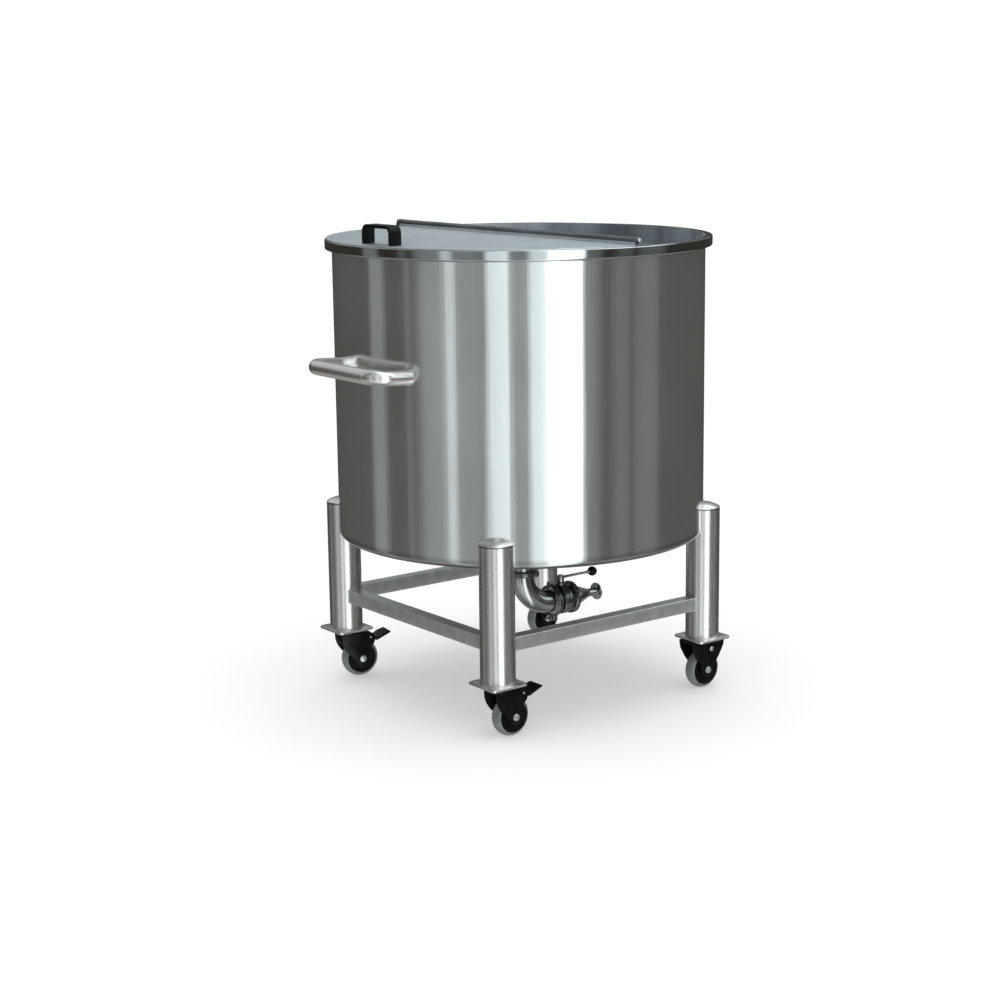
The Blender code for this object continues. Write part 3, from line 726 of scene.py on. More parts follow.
def knuckles(first, low, high):
    """Every second knuckle of the barrel, and the strips that carry them."""
    pitch = 2 * BARREL_HALF / KNUCKLES
    bore = PIN_R + 0.0002
    barrel, strips = [], []
    for index in range(first, KNUCKLES, 2):
        start = -BARREL_HALF + index * pitch
        near, far = start + KNUCKLE_GAP, start + pitch - KNUCKLE_GAP
        wall = rounded([(BARREL_R, near, 0.0006), (BARREL_R, far, 0.0006), (bore, far), (bore, near)])
        barrel.append(put(along_y(lathe(wall, ROD_SIDES)), HINGE))
        near, far = start + 0.001, start + pitch - 0.001
        strips.append(block((low[0], near, low[1]), (high[0], far, high[1]), 0.0004))
    return barrel + strips


def make_hinge():
    low = RIM_TOP + GAP
    outline = []
    for x, side in zip(BRIDGE_X[::-1], (1, -1)):
        outline += [(x, sign * side * BRIDGE_HALF, BRIDGE_CORNER) for sign in (-1, 1)]
    bar = slab([(x, y, low) for x, y in rounded(outline)], (0, 0, BRIDGE_SHEET), 0.0006)
    piece("bridge_bar", bar, DULL_STEEL_AND_SEAM_SHADE, "mouth_bridge")
    fixed = knuckles(0, (HINGE.x - 0.0015, low + 0.001), (HINGE.x + 0.0015, HINGE.z - 0.003))
    piece("hinge_fixed_leaf", gathered(*fixed), DULL_STEEL_AND_SEAM_SHADE)
    leaf_end = HINGE.x - BARREL_R - LEAF_OFF
    leaf_start = leaf_end - LEAF_SHEET
    turning = knuckles(1, (leaf_start + 0.0002, HINGE.z - 0.002), (HINGE.x - PIN_R, HINGE.z - 0.0004))
    half = BARREL_HALF - 0.001
    turning.append(block((leaf_start, -half, LID_TOP), (leaf_end, half, HINGE.z), 0.0004))
    piece("hinge_lid_leaf", gathered(*turning), DULL_STEEL_AND_SEAM_SHADE, body="lid", slot="satin_steel")
    near = Vector((HINGE.x, -BARREL_HALF, HINGE.z))
    pin = rod(PIN_R, near, (HINGE.x, BARREL_HALF, HINGE.z), PIN_SIDES, 0.001)
    head = rod(PIN_HEAD_R, near, near - Vector((0, PIN_HEAD_R, 0)), ROD_SIDES, 0.004)
    piece("hinge_rod", gathered(pin, head), ZINC, "hinge_pin")
    reach = BARREL_HALF + 0.0005
    foot, top = RIM_TOP - LUG_DROP, HINGE.z + LUG_RISE
    lug = rounded([
        (reach, foot, 0.0006), (reach + 0.0035, foot, 0.0006), (reach + 0.0075, HINGE.z - 0.006, 0.002),
        (reach + 0.0015, top, 0.002), (reach, top, 0.0006),
    ])
    hook = slab([(HINGE.x - LUG_HALF, y, z) for y, z in lug], (2 * LUG_HALF, 0, 0), 0.0006)
    piece("hinge_end_hook", hook, DULL_STEEL_AND_SEAM_SHADE)


def make_strap():
    low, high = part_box("lid_handle")
    x_near, y_near = low.x - AXIS.x, low.y
    width, length, height = high - low
    inside = height - STRAP_SHEET
    outline = rounded([
        (0, 0), (0, height, STRAP_BEND), (length, height, STRAP_BEND), (length, 0),
        (length - STRAP_SHEET, 0), (length - STRAP_SHEET, inside, STRAP_BEND - STRAP_SHEET),
        (STRAP_SHEET, inside, STRAP_BEND - STRAP_SHEET), (STRAP_SHEET, 0),
    ], steps=10)
    strap = slab([(x_near, y_near + y, low.z + z) for y, z in outline], (width, 0, 0), 0.0016, 3)
    piece("lid_strap", strap, STRAP_BLACK, "lid_handle", body="lid", slot="black_plastic")


# Push handle


def make_push_handle():
    """A bent tube, tilted about its outer bar so that its ends slope down to the shell."""
    corner = PUSH_X + PUSH_BEND
    reach = PUSH_HALF - PUSH_BEND
    route = [(-PUSH_START, -PUSH_HALF)]
    route += arc((corner, -reach), PUSH_BEND, 270, 180, 16)
    route += arc((corner, reach), PUSH_BEND, 180, 90, 16)
    route += [(-PUSH_START, PUSH_HALF)]
    level = tube([(x - PUSH_X, y, 0) for x, y in route], PUSH_R, BAR_SIDES)
    tilted = moved(level, Matrix.Translation((PUSH_X, 0, PUSH_Z)) @ Matrix.Rotation(PUSH_TILT, 4, "Y"))
    handle = carve(tilted, envelope())
    piece("push_tube", handle, HANDLE_STEEL, "push_handle")
    rings = []
    for side in (-1, 1):
        ring = []
        for y, up, _ in ring_line(PUSH_R, 0, (side * PUSH_HALF, 0)):
            x = -math.sqrt(SHELL_R ** 2 - y * y)
            drop = (x - PUSH_X) * math.tan(PUSH_TILT)
            ring.append((x, y, PUSH_Z - drop + up / math.cos(PUSH_TILT)))
        rings.append(bead(ring))
    piece("push_handle_welds", gathered(*rings), WELD)


# Legs, plates and rails


def cap_line():
    """Radius and height of a leg's domed cap from its rim to its top, a part of a sphere."""
    ball = (LEG_R ** 2 + LEG_DOME ** 2) / (2 * LEG_DOME)
    radii = [LEG_R * math.cos(math.pi / 2 * step / CAP_STEPS) for step in range(CAP_STEPS)] + [0.0]
    return [(radius, math.sqrt(ball ** 2 - radius ** 2) - ball + LEG_DOME) for radius in radii]


def leg_weld(place):
    """The bead where a leg meets the shell, from the bottom up and over its cap."""
    out = place.normalized()
    across = Vector((-out.y, out.x, 0))
    reach = place.length
    route = []
    side = math.acos((SHELL_R ** 2 - reach ** 2 - LEG_R ** 2) / (2 * reach * LEG_R))
    for step in range(41):
        angle = side + (math.tau - 2 * side) * step / 40
        spot = place + out * LEG_R * math.cos(angle) + across * LEG_R * math.sin(angle)
        route.append(Vector((spot.x, spot.y, bottom_height(min(spot.xy.length, SHELL_R)))))
    dome = []
    for radius, height in cap_line()[:-4]:
        angle = math.acos((SHELL_R ** 2 - reach ** 2 - radius ** 2) / (2 * reach * radius))
        dome.append((radius, angle, LEG_TOP + height))
    over = [(radius, -angle, height) for radius, angle, height in dome]
    over += [(radius, angle, height) for radius, angle, height in reversed(dome)]
    for radius, angle, height in over:
        spot = place + out * radius * math.cos(angle) + across * radius * math.sin(angle)
        route.append(Vector((spot.x, spot.y, height)))
    return bead(route)


def make_leg(side):
    place = leg_place(side)
    low, high = CAP_SEAM - CAP_SEAM_HALF, CAP_SEAM + CAP_SEAM_HALF
    core = LEG_R - CAP_SEAM_HALF
    profile = [(0, PLATE_TOP), (LEG_R, PLATE_TOP), (LEG_R, low), (core, low + 0.0004),
               (core, high - 0.0004), (LEG_R, high)]
    profile += [(radius, LEG_TOP + height) for radius, height in cap_line()]
    leg = put(lathe(profile, PIPE_SIDES, closed=False), place)
    piece(f"leg_tube_{side}", carve(leg, envelope()), TUBE_STEEL, f"leg_{side}")
    # A dark ring fills the groove under the cap: the thin dark line there is painted shade.
    low, high = low + GAP, high - GAP
    inner, outer = LEG_R - 0.0015, LEG_R - 0.0004
    seam = rounded([(inner, low), (outer, low, 0.0004), (outer, high, 0.0004), (inner, high)])
    seam_ring = carve(put(lathe(seam, PIPE_SIDES), place), envelope())
    piece(f"leg_seam_{side}", seam_ring, DULL_STEEL_AND_SEAM_SHADE)
    welds = gathered(leg_weld(place), bead(ring_line(LEG_R, PLATE_TOP, place), SEAM_R))
    piece(f"leg_welds_{side}", welds, WELD)

    low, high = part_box(f"base_plate_{side}")
    half = (high.x - low.x) / 2
    outline = [(place.x + x, place.y + y, low.z) for x, y in oblong(half, half, PLATE_CORNER, 6)]
    plate = slab(outline, (0, 0, high.z - low.z), 0.0008)
    piece(f"foot_plate_{side}", plate, TUBE_STEEL, f"base_plate_{side}")


def make_rail(name):
    middle, half = span(f"rail_{name}")
    middle -= AXIS
    sideways = name == "rear"
    reach = abs(leg_place("front_right").y)
    width = half.x if sideways else half.y

    def at(along, across=0, up=0):
        """A point by its place along the rail, its place across it and its height."""
        return Vector((middle.x + across, along, up) if sideways else (along, middle.y + across, up))

    section = [at(-reach, u, middle.z + v) for u, v in oblong(width, half.z, RAIL_CORNER)]
    low, high = middle.z - CUT_REACH, middle.z + CUT_REACH
    leg = [(0, low), (LEG_R, low), (LEG_R, high), (0, high)]
    ends = []
    beads = []
    for sign in (-1, 1):
        ends.append(put(lathe(leg, PIPE_SIDES, closed=False), at(sign * reach)))
        ring = []
        for u, v in oblong(width, half.z, RAIL_CORNER, 3):
            inward = -sign * math.sqrt(LEG_R ** 2 - u * u)
            ring.append(at(sign * reach + inward, u, middle.z + v))
        beads.append(bead(ring, RAIL_BEAD_R))
    rail = carve(slab(section, at(reach) - at(-reach)), *ends)
    piece(f"rail_tube_{name}", rail, RAIL_STEEL, f"rail_{name}")
    piece(f"rail_welds_{name}", gathered(*beads), WELD)


# Castors


def cheek(swivel):
    """The outline of a castor fork's side plate in its own plane."""
    axle_x = TRAIL if swivel else 0
    end = arc((axle_x, WHEEL_R), FORK_HUB_R, 190, 350, 16)
    if swivel:
        stem_side = [(-0.0215, CROWN_TOP - 0.001), (-0.0206, 0.099, 0.01), (-0.020, 0.085, 0.03),
                     (-0.0152, 0.071, 0.03), (-0.0054, 0.0575, 0.02)]
        trail_side = [(0.047, 0.068, 0.02), (0.058, 0.0745, 0.006), (0.0605, 0.084, 0.01),
                      (0.058, 0.096, 0.01), (0.0485, CROWN_TOP - 0.001)]
    else:
        trail_side = [(0.021, 0.056, 0.02), (0.033, 0.071, 0.03), (0.0455, 0.0925, 0.012),
                      (0.0485, RACE_TOP - 0.001)]
        stem_side = [(-corner[0], *corner[1:]) for corner in reversed(trail_side)]
    return rounded(stem_side + end + trail_side)


def axle_bolt(x, sign):
    """Washer, hexagon and rod end of the bolt on one side of a fork."""
    outer = sign * CHEEK_OUTER
    z = WHEEL_R
    return [
        rod(WASHER_R, (x, outer - sign * SUNK, z), (x, outer + sign * 0.0012, z), ROD_SIDES, 0.0004),
        hexagon(AXLE_NUT, (x, outer + sign * 0.001, z), (x, sign * (BOLT_END - 0.0008), z)),
        rod(AXLE_R, (x, outer, z), (x, sign * BOLT_END, z), PIN_SIDES, 0.0006),
    ]


def make_fork(side, swivel, place, body):
    parts = []
    for start in (-CHEEK_OUTER, CHEEK_INNER):
        outline = [(x, start, z) for x, z in cheek(swivel)]
        parts.append(slab(outline, (0, CHEEK_SHEET, 0), 0.0005))
    axle_x = TRAIL if swivel else 0
    bolts = axle_bolt(axle_x, -1) + axle_bolt(axle_x, 1)
    if swivel:
        front, back = SWIVEL_CROWN
        parts.append(block((front, -CHEEK_OUTER, CROWN_LOW), (back, CHEEK_OUTER, CROWN_TOP), 0.0024))
        cup = rounded([(0, 0.1), (0.027, 0.1, 0.001), (0.027, CUP_TOP, 0.001), (0, CUP_TOP)], closed=False)
        parts.append(lathe(cup, closed=False))
        pin_x, pin_z = PEDAL_PIN
        end = CHEEK_OUTER + CHEEK_SHEET
        bolts.append(rod(PEDAL_PIN_R, (pin_x, -end, pin_z), (pin_x, end, pin_z), PIN_SIDES, 0.0006))
    else:
        low = (-FIXED_CROWN_HALF, -CHEEK_OUTER, RACE_TOP - FIXED_CROWN_SHEET)
        parts.append(block(low, (FIXED_CROWN_HALF, CHEEK_OUTER, RACE_TOP), 0.0018))
        x, z = RIVET
        for sign in (-1, 1):
            outer = sign * CHEEK_OUTER
            start, end = (x, outer - sign * SUNK, z), (x, outer + sign * RIVET_END, z)
            bolts.append(rod(RIVET_R, start, end, ROD_SIDES, 0.0024))
    piece(f"fork_body_{side}", gathered(*parts), FORK_BLACK, f"fork_{side}",
          body=body, slot="black_steel", place=place)
    piece(f"fork_bolts_{side}", gathered(*bolts), ZINC, body=body, slot="satin_steel", place=place)


def make_race(side, place):
    low = CUP_TOP + GAP
    middle = (low + RACE_TOP) / 2
    ring = rounded([
        (0, low), (RACE_R - 0.001, low, 0.0008), (RACE_R - 0.001, middle - 0.0004, 0.0003),
        (RACE_R - 0.002, middle), (RACE_R, middle + 0.0004, 0.0003), (RACE_R, RACE_TOP, 0.0006),
        (0, RACE_TOP),
    ], closed=False)
    piece(f"race_ring_{side}", lathe(ring, closed=False), FORK_BLACK, f"swivel_race_{side}",
          slot="black_steel", place=place)


def make_wheel(side, place, axle_x):
    body = f"wheel_{side}"
    at = place @ Matrix.Translation((axle_x, 0, WHEEL_R))
    shoulder = WHEEL_R - TREAD_INNER_R
    flat = TREAD_HALF - shoulder
    lip = math.degrees(math.acos((LIP_R - TREAD_INNER_R) / shoulder))
    tread = arc((TREAD_INNER_R, -flat), shoulder, 360 - lip, 360, 8)
    tread += arc((TREAD_INNER_R, flat), shoulder, 0, lip, 8)
    piece(f"tread_{side}", along_y(lathe(tread, PIPE_SIDES)), TREAD, f"wheel_tread_{side}",
          body=body, slot="grey_tread", place=at)
    boss = CHEEK_INNER - GAP
    web = HUB_HALF - 0.0018
    half = [(0.0043, boss), (0.011, boss, 0.0008), (0.0135, web, 0.001), (0.027, web, 0.001),
            (0.0285, TREAD_HALF, 0.0008), (LIP_R - 0.0002, TREAD_HALF, 0.0008)]
    corners = [(corner[0], -corner[1], *corner[2:]) for corner in half] + half[::-1]
    piece(f"hub_{side}", along_y(lathe(rounded(corners))), MOULDED_BLACK, f"wheel_hub_{side}",
          body=body, slot="black_plastic", place=at)


def make_pedal(side, place):
    """A moulded wedge with grip ribs across its tip."""
    outline = arc((0, 0), 0.005, 300, 90, 12)
    corners = [(0.012, -0.001, 0.004), (0.024, -0.003, 0.008), (0.032, 0.003, 0.01),
               (0.0505, 0.0075, 0.001), (0.049, 0.004, 0.001), (0.016, -0.011, 0.004),
               (0.006, -0.006, 0.003)]
    outline = rounded(outline + corners)
    bm = slab([(x, -1, z) for x, z in outline], (0, 2, 0))
    for vert in bm.verts:
        flare = min(max((vert.co.x - 0.0125) / 0.0075, 0), 1)
        vert.co.y *= 0.0165 + 0.0035 * flare
    soften(bm, 0.0008, 2, angle=60)
    bore = rod(0.0028, (0, -0.03, 0), (0, 0.03, 0), PIN_SIDES)
    wedge = carve(bm, bore)
    ribs = []
    for step in range(4):
        x = 0.034 + 0.004 * step
        z = 0.003 + (x - 0.032) * 0.243
        ribs.append(block((x - 0.0006, -0.016, z - 0.0004), (x + 0.0006, 0.016, z + 0.0006), 0.0003))
    at = place @ Matrix.Translation((PEDAL_PIN[0], 0, PEDAL_PIN[1]))
    piece(f"pedal_{side}", gathered(wedge, *ribs), MOULDED_BLACK, f"brake_pedal_{side}",
          body=f"pedal_{side}", slot="black_plastic", place=at)


def make_castor(side):
    swivel = side.startswith("rear")
    axle = JOINTS[f"spin_{side}"]["axis"]
    turn = -math.atan2(axle[0], axle[1])
    place = Matrix.Translation(leg_place(side)) @ Matrix.Rotation(turn, 4, "Z")
    make_fork(side, swivel, place, f"swivel_{side}" if swivel else "tank")
    make_wheel(side, place, TRAIL if swivel else 0)
    if swivel:
        make_race(side, place)
        make_pedal(side, place)


# Outlet


def make_nozzle():
    top = bottom_line(-WALL, PIPE_R)[-1][1]
    step = NOZZLE_END + FERRULE_SHEET
    profile = rounded([
        (PIPE_BORE, top), (PIPE_BORE, NOZZLE_END), (FERRULE_R, NOZZLE_END, RIM_EDGE),
        (FERRULE_R, step - 0.001, RIM_EDGE), (PIPE_R, step + 0.001, PIPE_EDGE), (PIPE_R, top),
    ])
    piece("drain_pipe", lathe(profile, PIPE_SIDES), BRIGHT_STEEL, "drain_nozzle")
    ring = ring_line(PIPE_R, bottom_height(PIPE_R))
    piece("drain_weld", bead(ring, SEAM_R), WELD)


def clamp_parts():
    """A two-part pipe clamp about Z: grooved band, hinge lug, bolt and wing nut at +X."""
    half = [(CLAMP_R, CLAMP_HALF - 0.003, PIPE_EDGE), (CLAMP_R - 0.003, CLAMP_HALF, PIPE_EDGE),
            (FERRULE_R + GAP, CLAMP_HALF - 0.002, 0.0004)]
    band = [(radius, -height, corner) for radius, height, corner in half[::-1]] + half
    parts = [lathe(rounded(band), PIPE_SIDES)]
    for y in (-0.0075, 0.0025):
        parts.append(block((CLAMP_R - 0.004, y, -0.0055), (CLAMP_R + 0.0095, y + 0.005, 0.0055), 0.0012))
    parts.append(block((-CLAMP_R - 0.006, -0.006, -0.0055), (0.003 - CLAMP_R, 0.006, 0.0055), 0.002))
    pin_x = -CLAMP_R - 0.003
    parts.append(rod(0.0022, (pin_x, 0, -0.0068), (pin_x, 0, 0.0068), PIN_SIDES, 0.0006))
    bolt_x = CLAMP_R + 0.0045
    parts.append(rod(0.0026, (bolt_x, -0.0115, 0), (bolt_x, 0.022, 0), PIN_SIDES, 0.0006))
    parts.append(rod(0.0052, (bolt_x, 0.0078, 0), (bolt_x, 0.0165, 0), ROD_SIDES, 0.001))
    wing = rounded([
        (0.002, 0.009), (0.011, 0.011, 0.002), (0.0145, 0.0185, 0.0025), (0.0095, 0.0205, 0.003),
        (0.002, 0.0155),
    ])
    for sign in (-1, 1):
        outline = [(bolt_x, y, sign * x) for x, y in wing]
        parts.append(put(slab(outline, (WING_SHEET, 0, 0), 0.0006), (-WING_SHEET / 2, 0, 0)))
    return parts


def make_clamp(name, node, at, lay, angle):
    turn = Matrix.Rotation(math.radians(angle), 4, "Z")
    matrix = Matrix.Translation(at) @ (Matrix.Rotation(math.pi / 2, 4, "Y") if lay else Matrix()) @ turn
    piece(name, gathered(*clamp_parts()), VALVE_STEEL_PAINTED_SHADE, node, place=matrix)


def make_elbow():
    top = Vector((0, 0, NOZZLE_END - GAP))
    end = Vector((VALVE_START - GAP, 0, PIPE_Z))
    bend = PIPE_Z + ELBOW_R
    route = [(0, 0, NOZZLE_END - 0.0001), (0, 0, (bend + NOZZLE_END) / 2)]
    route += [(x, 0, z) for x, z in arc((ELBOW_R, bend), ELBOW_R, 180, 270, 32)]
    route.append(end)
    step = FERRULE_SHEET + 0.001
    flange = rounded([
        (0, 0), (FERRULE_R, 0, RIM_EDGE), (FERRULE_R, FERRULE_SHEET - 0.001, RIM_EDGE),
        (PIPE_R, step, PIPE_EDGE), (0, step),
    ])
    upper = put(moved(lathe(flange, PIPE_SIDES), Matrix.Rotation(math.pi, 4, "X")), top)
    lower = put(moved(lathe(flange, PIPE_SIDES), Matrix.Rotation(-math.pi / 2, 4, "Y")), end)
    elbow = gathered(tube(route, PIPE_R, 64), upper, lower)
    piece("elbow_pipe", elbow, BRIGHT_STEEL, "outlet_elbow")


def make_valve():
    middle = (VALVE_START + VALVE_END) / 2
    end = VALVE_END - middle
    half = [
        (VALVE_R, 0.0006, 0.0003), (VALVE_R, 0.010, 0.0015), (PIPE_R, 0.012, PIPE_EDGE),
        (PIPE_R, end - 0.0055, PIPE_EDGE), (FERRULE_R, end - 0.0035, RIM_EDGE), (FERRULE_R, end, RIM_EDGE),
    ]
    near = [(radius, middle - along, corner) for radius, along, corner in reversed(half)]
    far = [(radius, middle + along, corner) for radius, along, corner in half]
    body = rounded([(0, VALVE_START), *near, (VALVE_R - 0.0015, middle), *far, (0, VALVE_END)])
    parts = [put(along_x(lathe(body, PIPE_SIDES)), (0, 0, PIPE_Z))]
    for step in range(4):
        angle = math.radians(45 + 90 * step)
        y = SCREW_RING_R * math.cos(angle)
        z = PIPE_Z + SCREW_RING_R * math.sin(angle)
        for x in (middle - 0.0128, middle + 0.0095):
            parts.append(hexagon(0.006, (x, y, z), (x + 0.0033, y, z), 0.0003))
    for radius, low, high in ((NECK_R, PIPE_Z + 0.030, LEVER.z - 0.0105),
                              (NECK_R + 0.002, PIPE_Z + 0.0325, PIPE_Z + 0.0365)):
        parts.append(rod(radius, (middle, 0, low), (middle, 0, high), BAR_SIDES, 0.0008))
    piece("valve_housing", gathered(*parts), VALVE_STEEL_PAINTED_SHADE, "valve_body")


def make_lever():
    hub = rod(0.008, (0, 0, -0.0102), (0, 0, 0.0045), BAR_SIDES, 0.0012)
    nut = hexagon(0.010, (0, 0, 0.0042), (0, 0, 0.0060))
    reach = KNOB_X - LEVER.x
    arm_end = reach - KNOB_R
    arm = rod(0.003, (0.0015, 0, 0), (arm_end + 0.003, 0, 0), ROD_SIDES, 0.0006)
    collar = rod(0.0045, (arm_end - 0.003, 0, 0), (arm_end + 0.001, 0, 0), ROD_SIDES, 0.0006)
    place = Matrix.Translation(LEVER)
    piece("lever_arm", gathered(hub, nut, arm, collar), BRIGHT_STEEL, "valve_lever",
          body="lever", place=place)
    ball = bmesh.new()
    bmesh.ops.create_uvsphere(ball, u_segments=48, v_segments=24, radius=KNOB_R,
                              matrix=Matrix.Translation((reach, 0, 0)))
    piece("lever_ball", ball, MOULDED_BLACK, "lever_knob", body="lever", slot="black_plastic", place=place)


def make_reducer():
    start = VALVE_END + GAP
    profile = rounded([
        (0, start), (FERRULE_R, start, RIM_EDGE), (FERRULE_R, start + 0.0035, RIM_EDGE),
        (PIPE_R, start + 0.0055, PIPE_EDGE), (PIPE_R, CONE_START, 0.006), (NOSE_R + 0.001, CONE_END, 0.008),
        (NOSE_R, CONE_END + 0.004, 0.004), (NOSE_R, NOSE_END - 0.006, PIPE_EDGE),
        (NOSE_FLANGE_R, NOSE_END - 0.0035, RIM_EDGE), (NOSE_FLANGE_R, NOSE_END, RIM_EDGE),
        (NOSE_BORE, NOSE_END), (NOSE_BORE, CONE_START), (0, CONE_START),
    ])
    cone = put(along_x(lathe(profile, PIPE_SIDES, closed=False)), (0, 0, PIPE_Z))
    piece("reducer_cone", cone, BRIGHT_STEEL, "outlet_reducer")


def make_outlet():
    make_nozzle()
    make_clamp("nozzle_clamp", "clamp_nozzle", (0, 0, NOZZLE_END), False, 110)
    make_elbow()
    make_clamp("elbow_clamp", "clamp_elbow", (VALVE_START, 0, PIPE_Z), True, -10)
    make_valve()
    make_lever()
    make_clamp("valve_clamp", "clamp_valve", (VALVE_END, 0, PIPE_Z), True, 70)
    make_reducer()


# Studio


CAMERA_AT = Vector((-2.6056, -3.3977, 1.3032))
CAMERA_AHEAD = Vector((0.5918, 0.7803, -0.2022))
CAMERA_UP = Vector((0.1317, 0.1539, 0.9793))
CAMERA_LENS = 71.687
CAMERA_SIDE = math.degrees(math.atan2(CAMERA_AT.y, CAMERA_AT.x - AXIS.x))

# Cards round the tank: direction, half width and softness in degrees, brightness, and the
# height at which each starts, from -1, straight down, to 1, straight up
CARDS = (
    ("bright window", 28.0, 10.5, 1.5, 2.6, -1.0),
    ("window's veil", 13.0, 6.0, 6.0, 1.3, -1.0),
    ("window's tail", 45.0, 3.0, 5.0, 0.14, -1.0),
    ("between the windows", -1.0, 8.0, 6.0, 0.30, -1.0),
    ("second window", -12.5, 6.5, 3.0, 1.25, -1.0),
    ("narrow strip", -42.5, 3.0, 3.5, 0.65, -1.0),
    ("pale curtain", -42.0, 20.0, 12.0, 0.30, -1.0),
    ("shelf edge", -71.0, 2.5, 3.0, 0.12, -1.0),
    ("left grey card", -96.0, 6.0, 5.0, 0.25, -1.0),
    ("right grey strip", 64.0, 5.0, 6.0, 0.10, -1.0),
    ("right grey card", 84.0, 9.0, 8.0, 0.12, -1.0),
    ("back wall", 180.0, 50.0, 30.0, 0.17, 0.14),
    ("low back window", 183.4, 2.2, 1.0, 0.14, 0.02),
    ("its brighter edge", 177.7, 0.9, 0.4, 0.46, 0.02),
    ("high window on the right", 78.0, 22.0, 16.0, 1.3, 0.06),
    ("high wall on the left", -125.0, 35.0, 20.0, 0.45, 0.25),
)
CARD_TINT = (0.89, 1.0, 1.035)
ROOM_LOW = (0.052, 0.050, 0.044)
ROOM_HIGH = (0.12, 0.125, 0.13)
FLOOR_IN_STEEL = (0.33, 0.33, 0.32)
OVERHEAD = (110.0, 66.0, 34.0, 1.5)
OVERHEAD_SOFT = 12
ROOM_TURNS = (0.04, 0.2)
PAPER_FADE = (-0.52, -0.30)
UNDER_TANK = (0.5, 1.0, -0.95, -0.80)
WHITE_SHOWN = 1.05
FLOOR_LIGHT = 0.62
FLOOR_GLOW = 0.34
SUN_STRENGTH = 0.85
SUN_SPREAD = math.radians(50)


def make_camera():
    data = bpy.data.cameras.new("camera")
    data.lens = CAMERA_LENS
    data.sensor_width = 36
    data.clip_end = 200
    camera = stand("camera", data)
    back = -CAMERA_AHEAD.normalized()
    right = CAMERA_UP.cross(back).normalized()
    up = back.cross(right)
    camera.matrix_world = Matrix.Translation(CAMERA_AT) @ Matrix((right, up, back)).transposed().to_4x4()
    bpy.context.scene.camera = camera


def sums(tree, operation, *values, kind="ShaderNodeMath"):
    node = tree.nodes.new(kind)
    node.operation = operation
    feed(tree, node, dict(enumerate(values)))
    return node.outputs[1 if operation == "DOT_PRODUCT" else 0]


def vector_sums(tree, operation, *values):
    return sums(tree, operation, *values, kind="ShaderNodeVectorMath")


def bearing(angle, rise=0.0):
    """The direction at an angle from the camera's side, raised towards the zenith."""
    turn = math.radians(CAMERA_SIDE + angle)
    rise = math.radians(rise)
    return math.cos(turn) * math.cos(rise), math.sin(turn) * math.cos(rise), math.sin(rise)


def edges(half, soft):
    """Cosines between which a card of a half width fades in."""
    return math.cos(math.radians(half + soft / 2)), math.cos(math.radians(half - soft / 2))


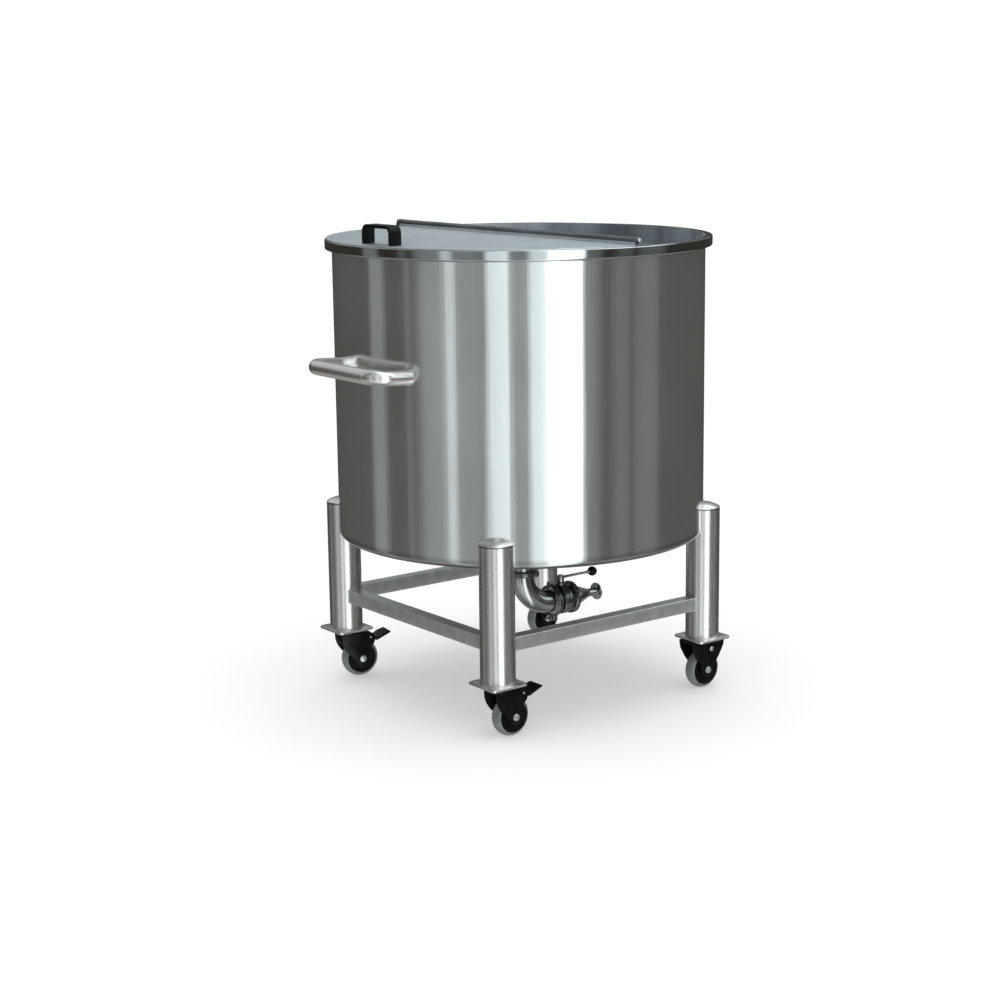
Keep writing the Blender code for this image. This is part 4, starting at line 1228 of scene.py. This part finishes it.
def make_world():
    """White all round for the eye, even for soft light, and cards for what the steel mirrors."""
    world = bpy.data.worlds.new("studio")
    bpy.context.scene.world = world
    world.use_nodes = True
    world.cycles.sampling_method = "NONE"
    tree = world.node_tree
    tree.nodes.clear()
    toward = tree.nodes.new("ShaderNodeTexCoord").outputs["Generated"]
    flat = vector_sums(tree, "NORMALIZE", vector_sums(tree, "MULTIPLY", toward, (1, 1, 0)))
    height = height_of(tree, toward)
    light = 0.0
    for name, angle, half, soft, brightness, start in CARDS:
        across = vector_sums(tree, "DOT_PRODUCT", flat, bearing(angle))
        card = sums(tree, "MULTIPLY", step_up(tree, across, *edges(half, soft)), brightness)
        if start > -1:
            card = sums(tree, "MULTIPLY", card, step_up(tree, height, start - 0.02, start + 0.03))
        card.node.label = name
        light = sums(tree, "ADD", card, light)
    angle, rise, half, brightness = OVERHEAD
    across = vector_sums(tree, "DOT_PRODUCT", toward, bearing(angle, rise))
    overhead = step_up(tree, across, *edges(half, OVERHEAD_SOFT))
    light = sums(tree, "MULTIPLY_ADD", overhead, brightness, light)
    room = between(tree, step_up(tree, height, *ROOM_TURNS), ROOM_LOW, ROOM_HIGH)
    paper = sums(tree, "SUBTRACT", 1.0, step_up(tree, height, *PAPER_FADE))
    room = vector_sums(tree, "ADD", room, vector_sums(tree, "MULTIPLY", paper, FLOOR_IN_STEEL))
    mirrored = vector_sums(tree, "MULTIPLY_ADD", light, CARD_TINT, room)
    under_tank = spread(tree, height, *UNDER_TANK)
    mirrored = vector_sums(tree, "MULTIPLY", mirrored, under_tank)

    path = tree.nodes.new("ShaderNodeLightPath")
    shades = []
    white = (1, 1, 1, 1)
    for colour, strength in ((white, FLOOR_LIGHT), (mirrored, 1.0), (white, WHITE_SHOWN)):
        background = tree.nodes.new("ShaderNodeBackground")
        shades.append(feed(tree, background, {"Color": colour, "Strength": strength}).outputs[0])
    shown = shades[0]
    for ray, shade in (("Is Glossy Ray", shades[1]), ("Is Camera Ray", shades[2])):
        choice = tree.nodes.new("ShaderNodeMixShader")
        shown = feed(tree, choice, {0: path.outputs[ray], 1: shown, 2: shade}).outputs[0]
    feed(tree, tree.nodes.new("ShaderNodeOutputWorld"), {"Surface": shown})


def make_floor():
    bm = bmesh.new()
    bmesh.ops.create_circle(bm, cap_ends=True, segments=64, radius=40)
    mesh = as_mesh(bm, "studio_floor")
    material, tree, shader = blank("floor paper", 0.0, 0.9)
    shader.inputs["Specular IOR Level"].default_value = 0
    shader.inputs["Emission Color"].default_value = (1, 1, 1, 1)
    shader.inputs["Emission Strength"].default_value = FLOOR_GLOW
    paper = spread(tree, noise(tree, (3, 3, 3), detail=2), 0, 1)
    feed(tree, shader, {"Base Color": between(tree, paper, (0.80, 0.80, 0.80), (0.82, 0.82, 0.82))})
    mesh.materials.append(material)
    floor = stand("studio_floor", mesh)
    floor.visible_glossy = False


def make_light():
    """A broad soft light from straight above, which leaves a soft shadow under the tank."""
    data = bpy.data.lights.new("overhead", "SUN")
    data.energy = SUN_STRENGTH
    data.angle = SUN_SPREAD
    light = stand("overhead", data)
    light.location = (0, 0, 3)
    light.visible_glossy = False


make_camera()
make_world()
make_floor()
make_light()
bpy.context.scene.view_settings.view_transform = "Standard"

make_shell()
make_rim()
make_lid()
make_hinge()
make_strap()
make_push_handle()
for side_name in SIDES:
    make_leg(side_name)
    make_castor(side_name)
for rail_name in ("right", "left", "rear"):
    make_rail(rail_name)
make_outlet()
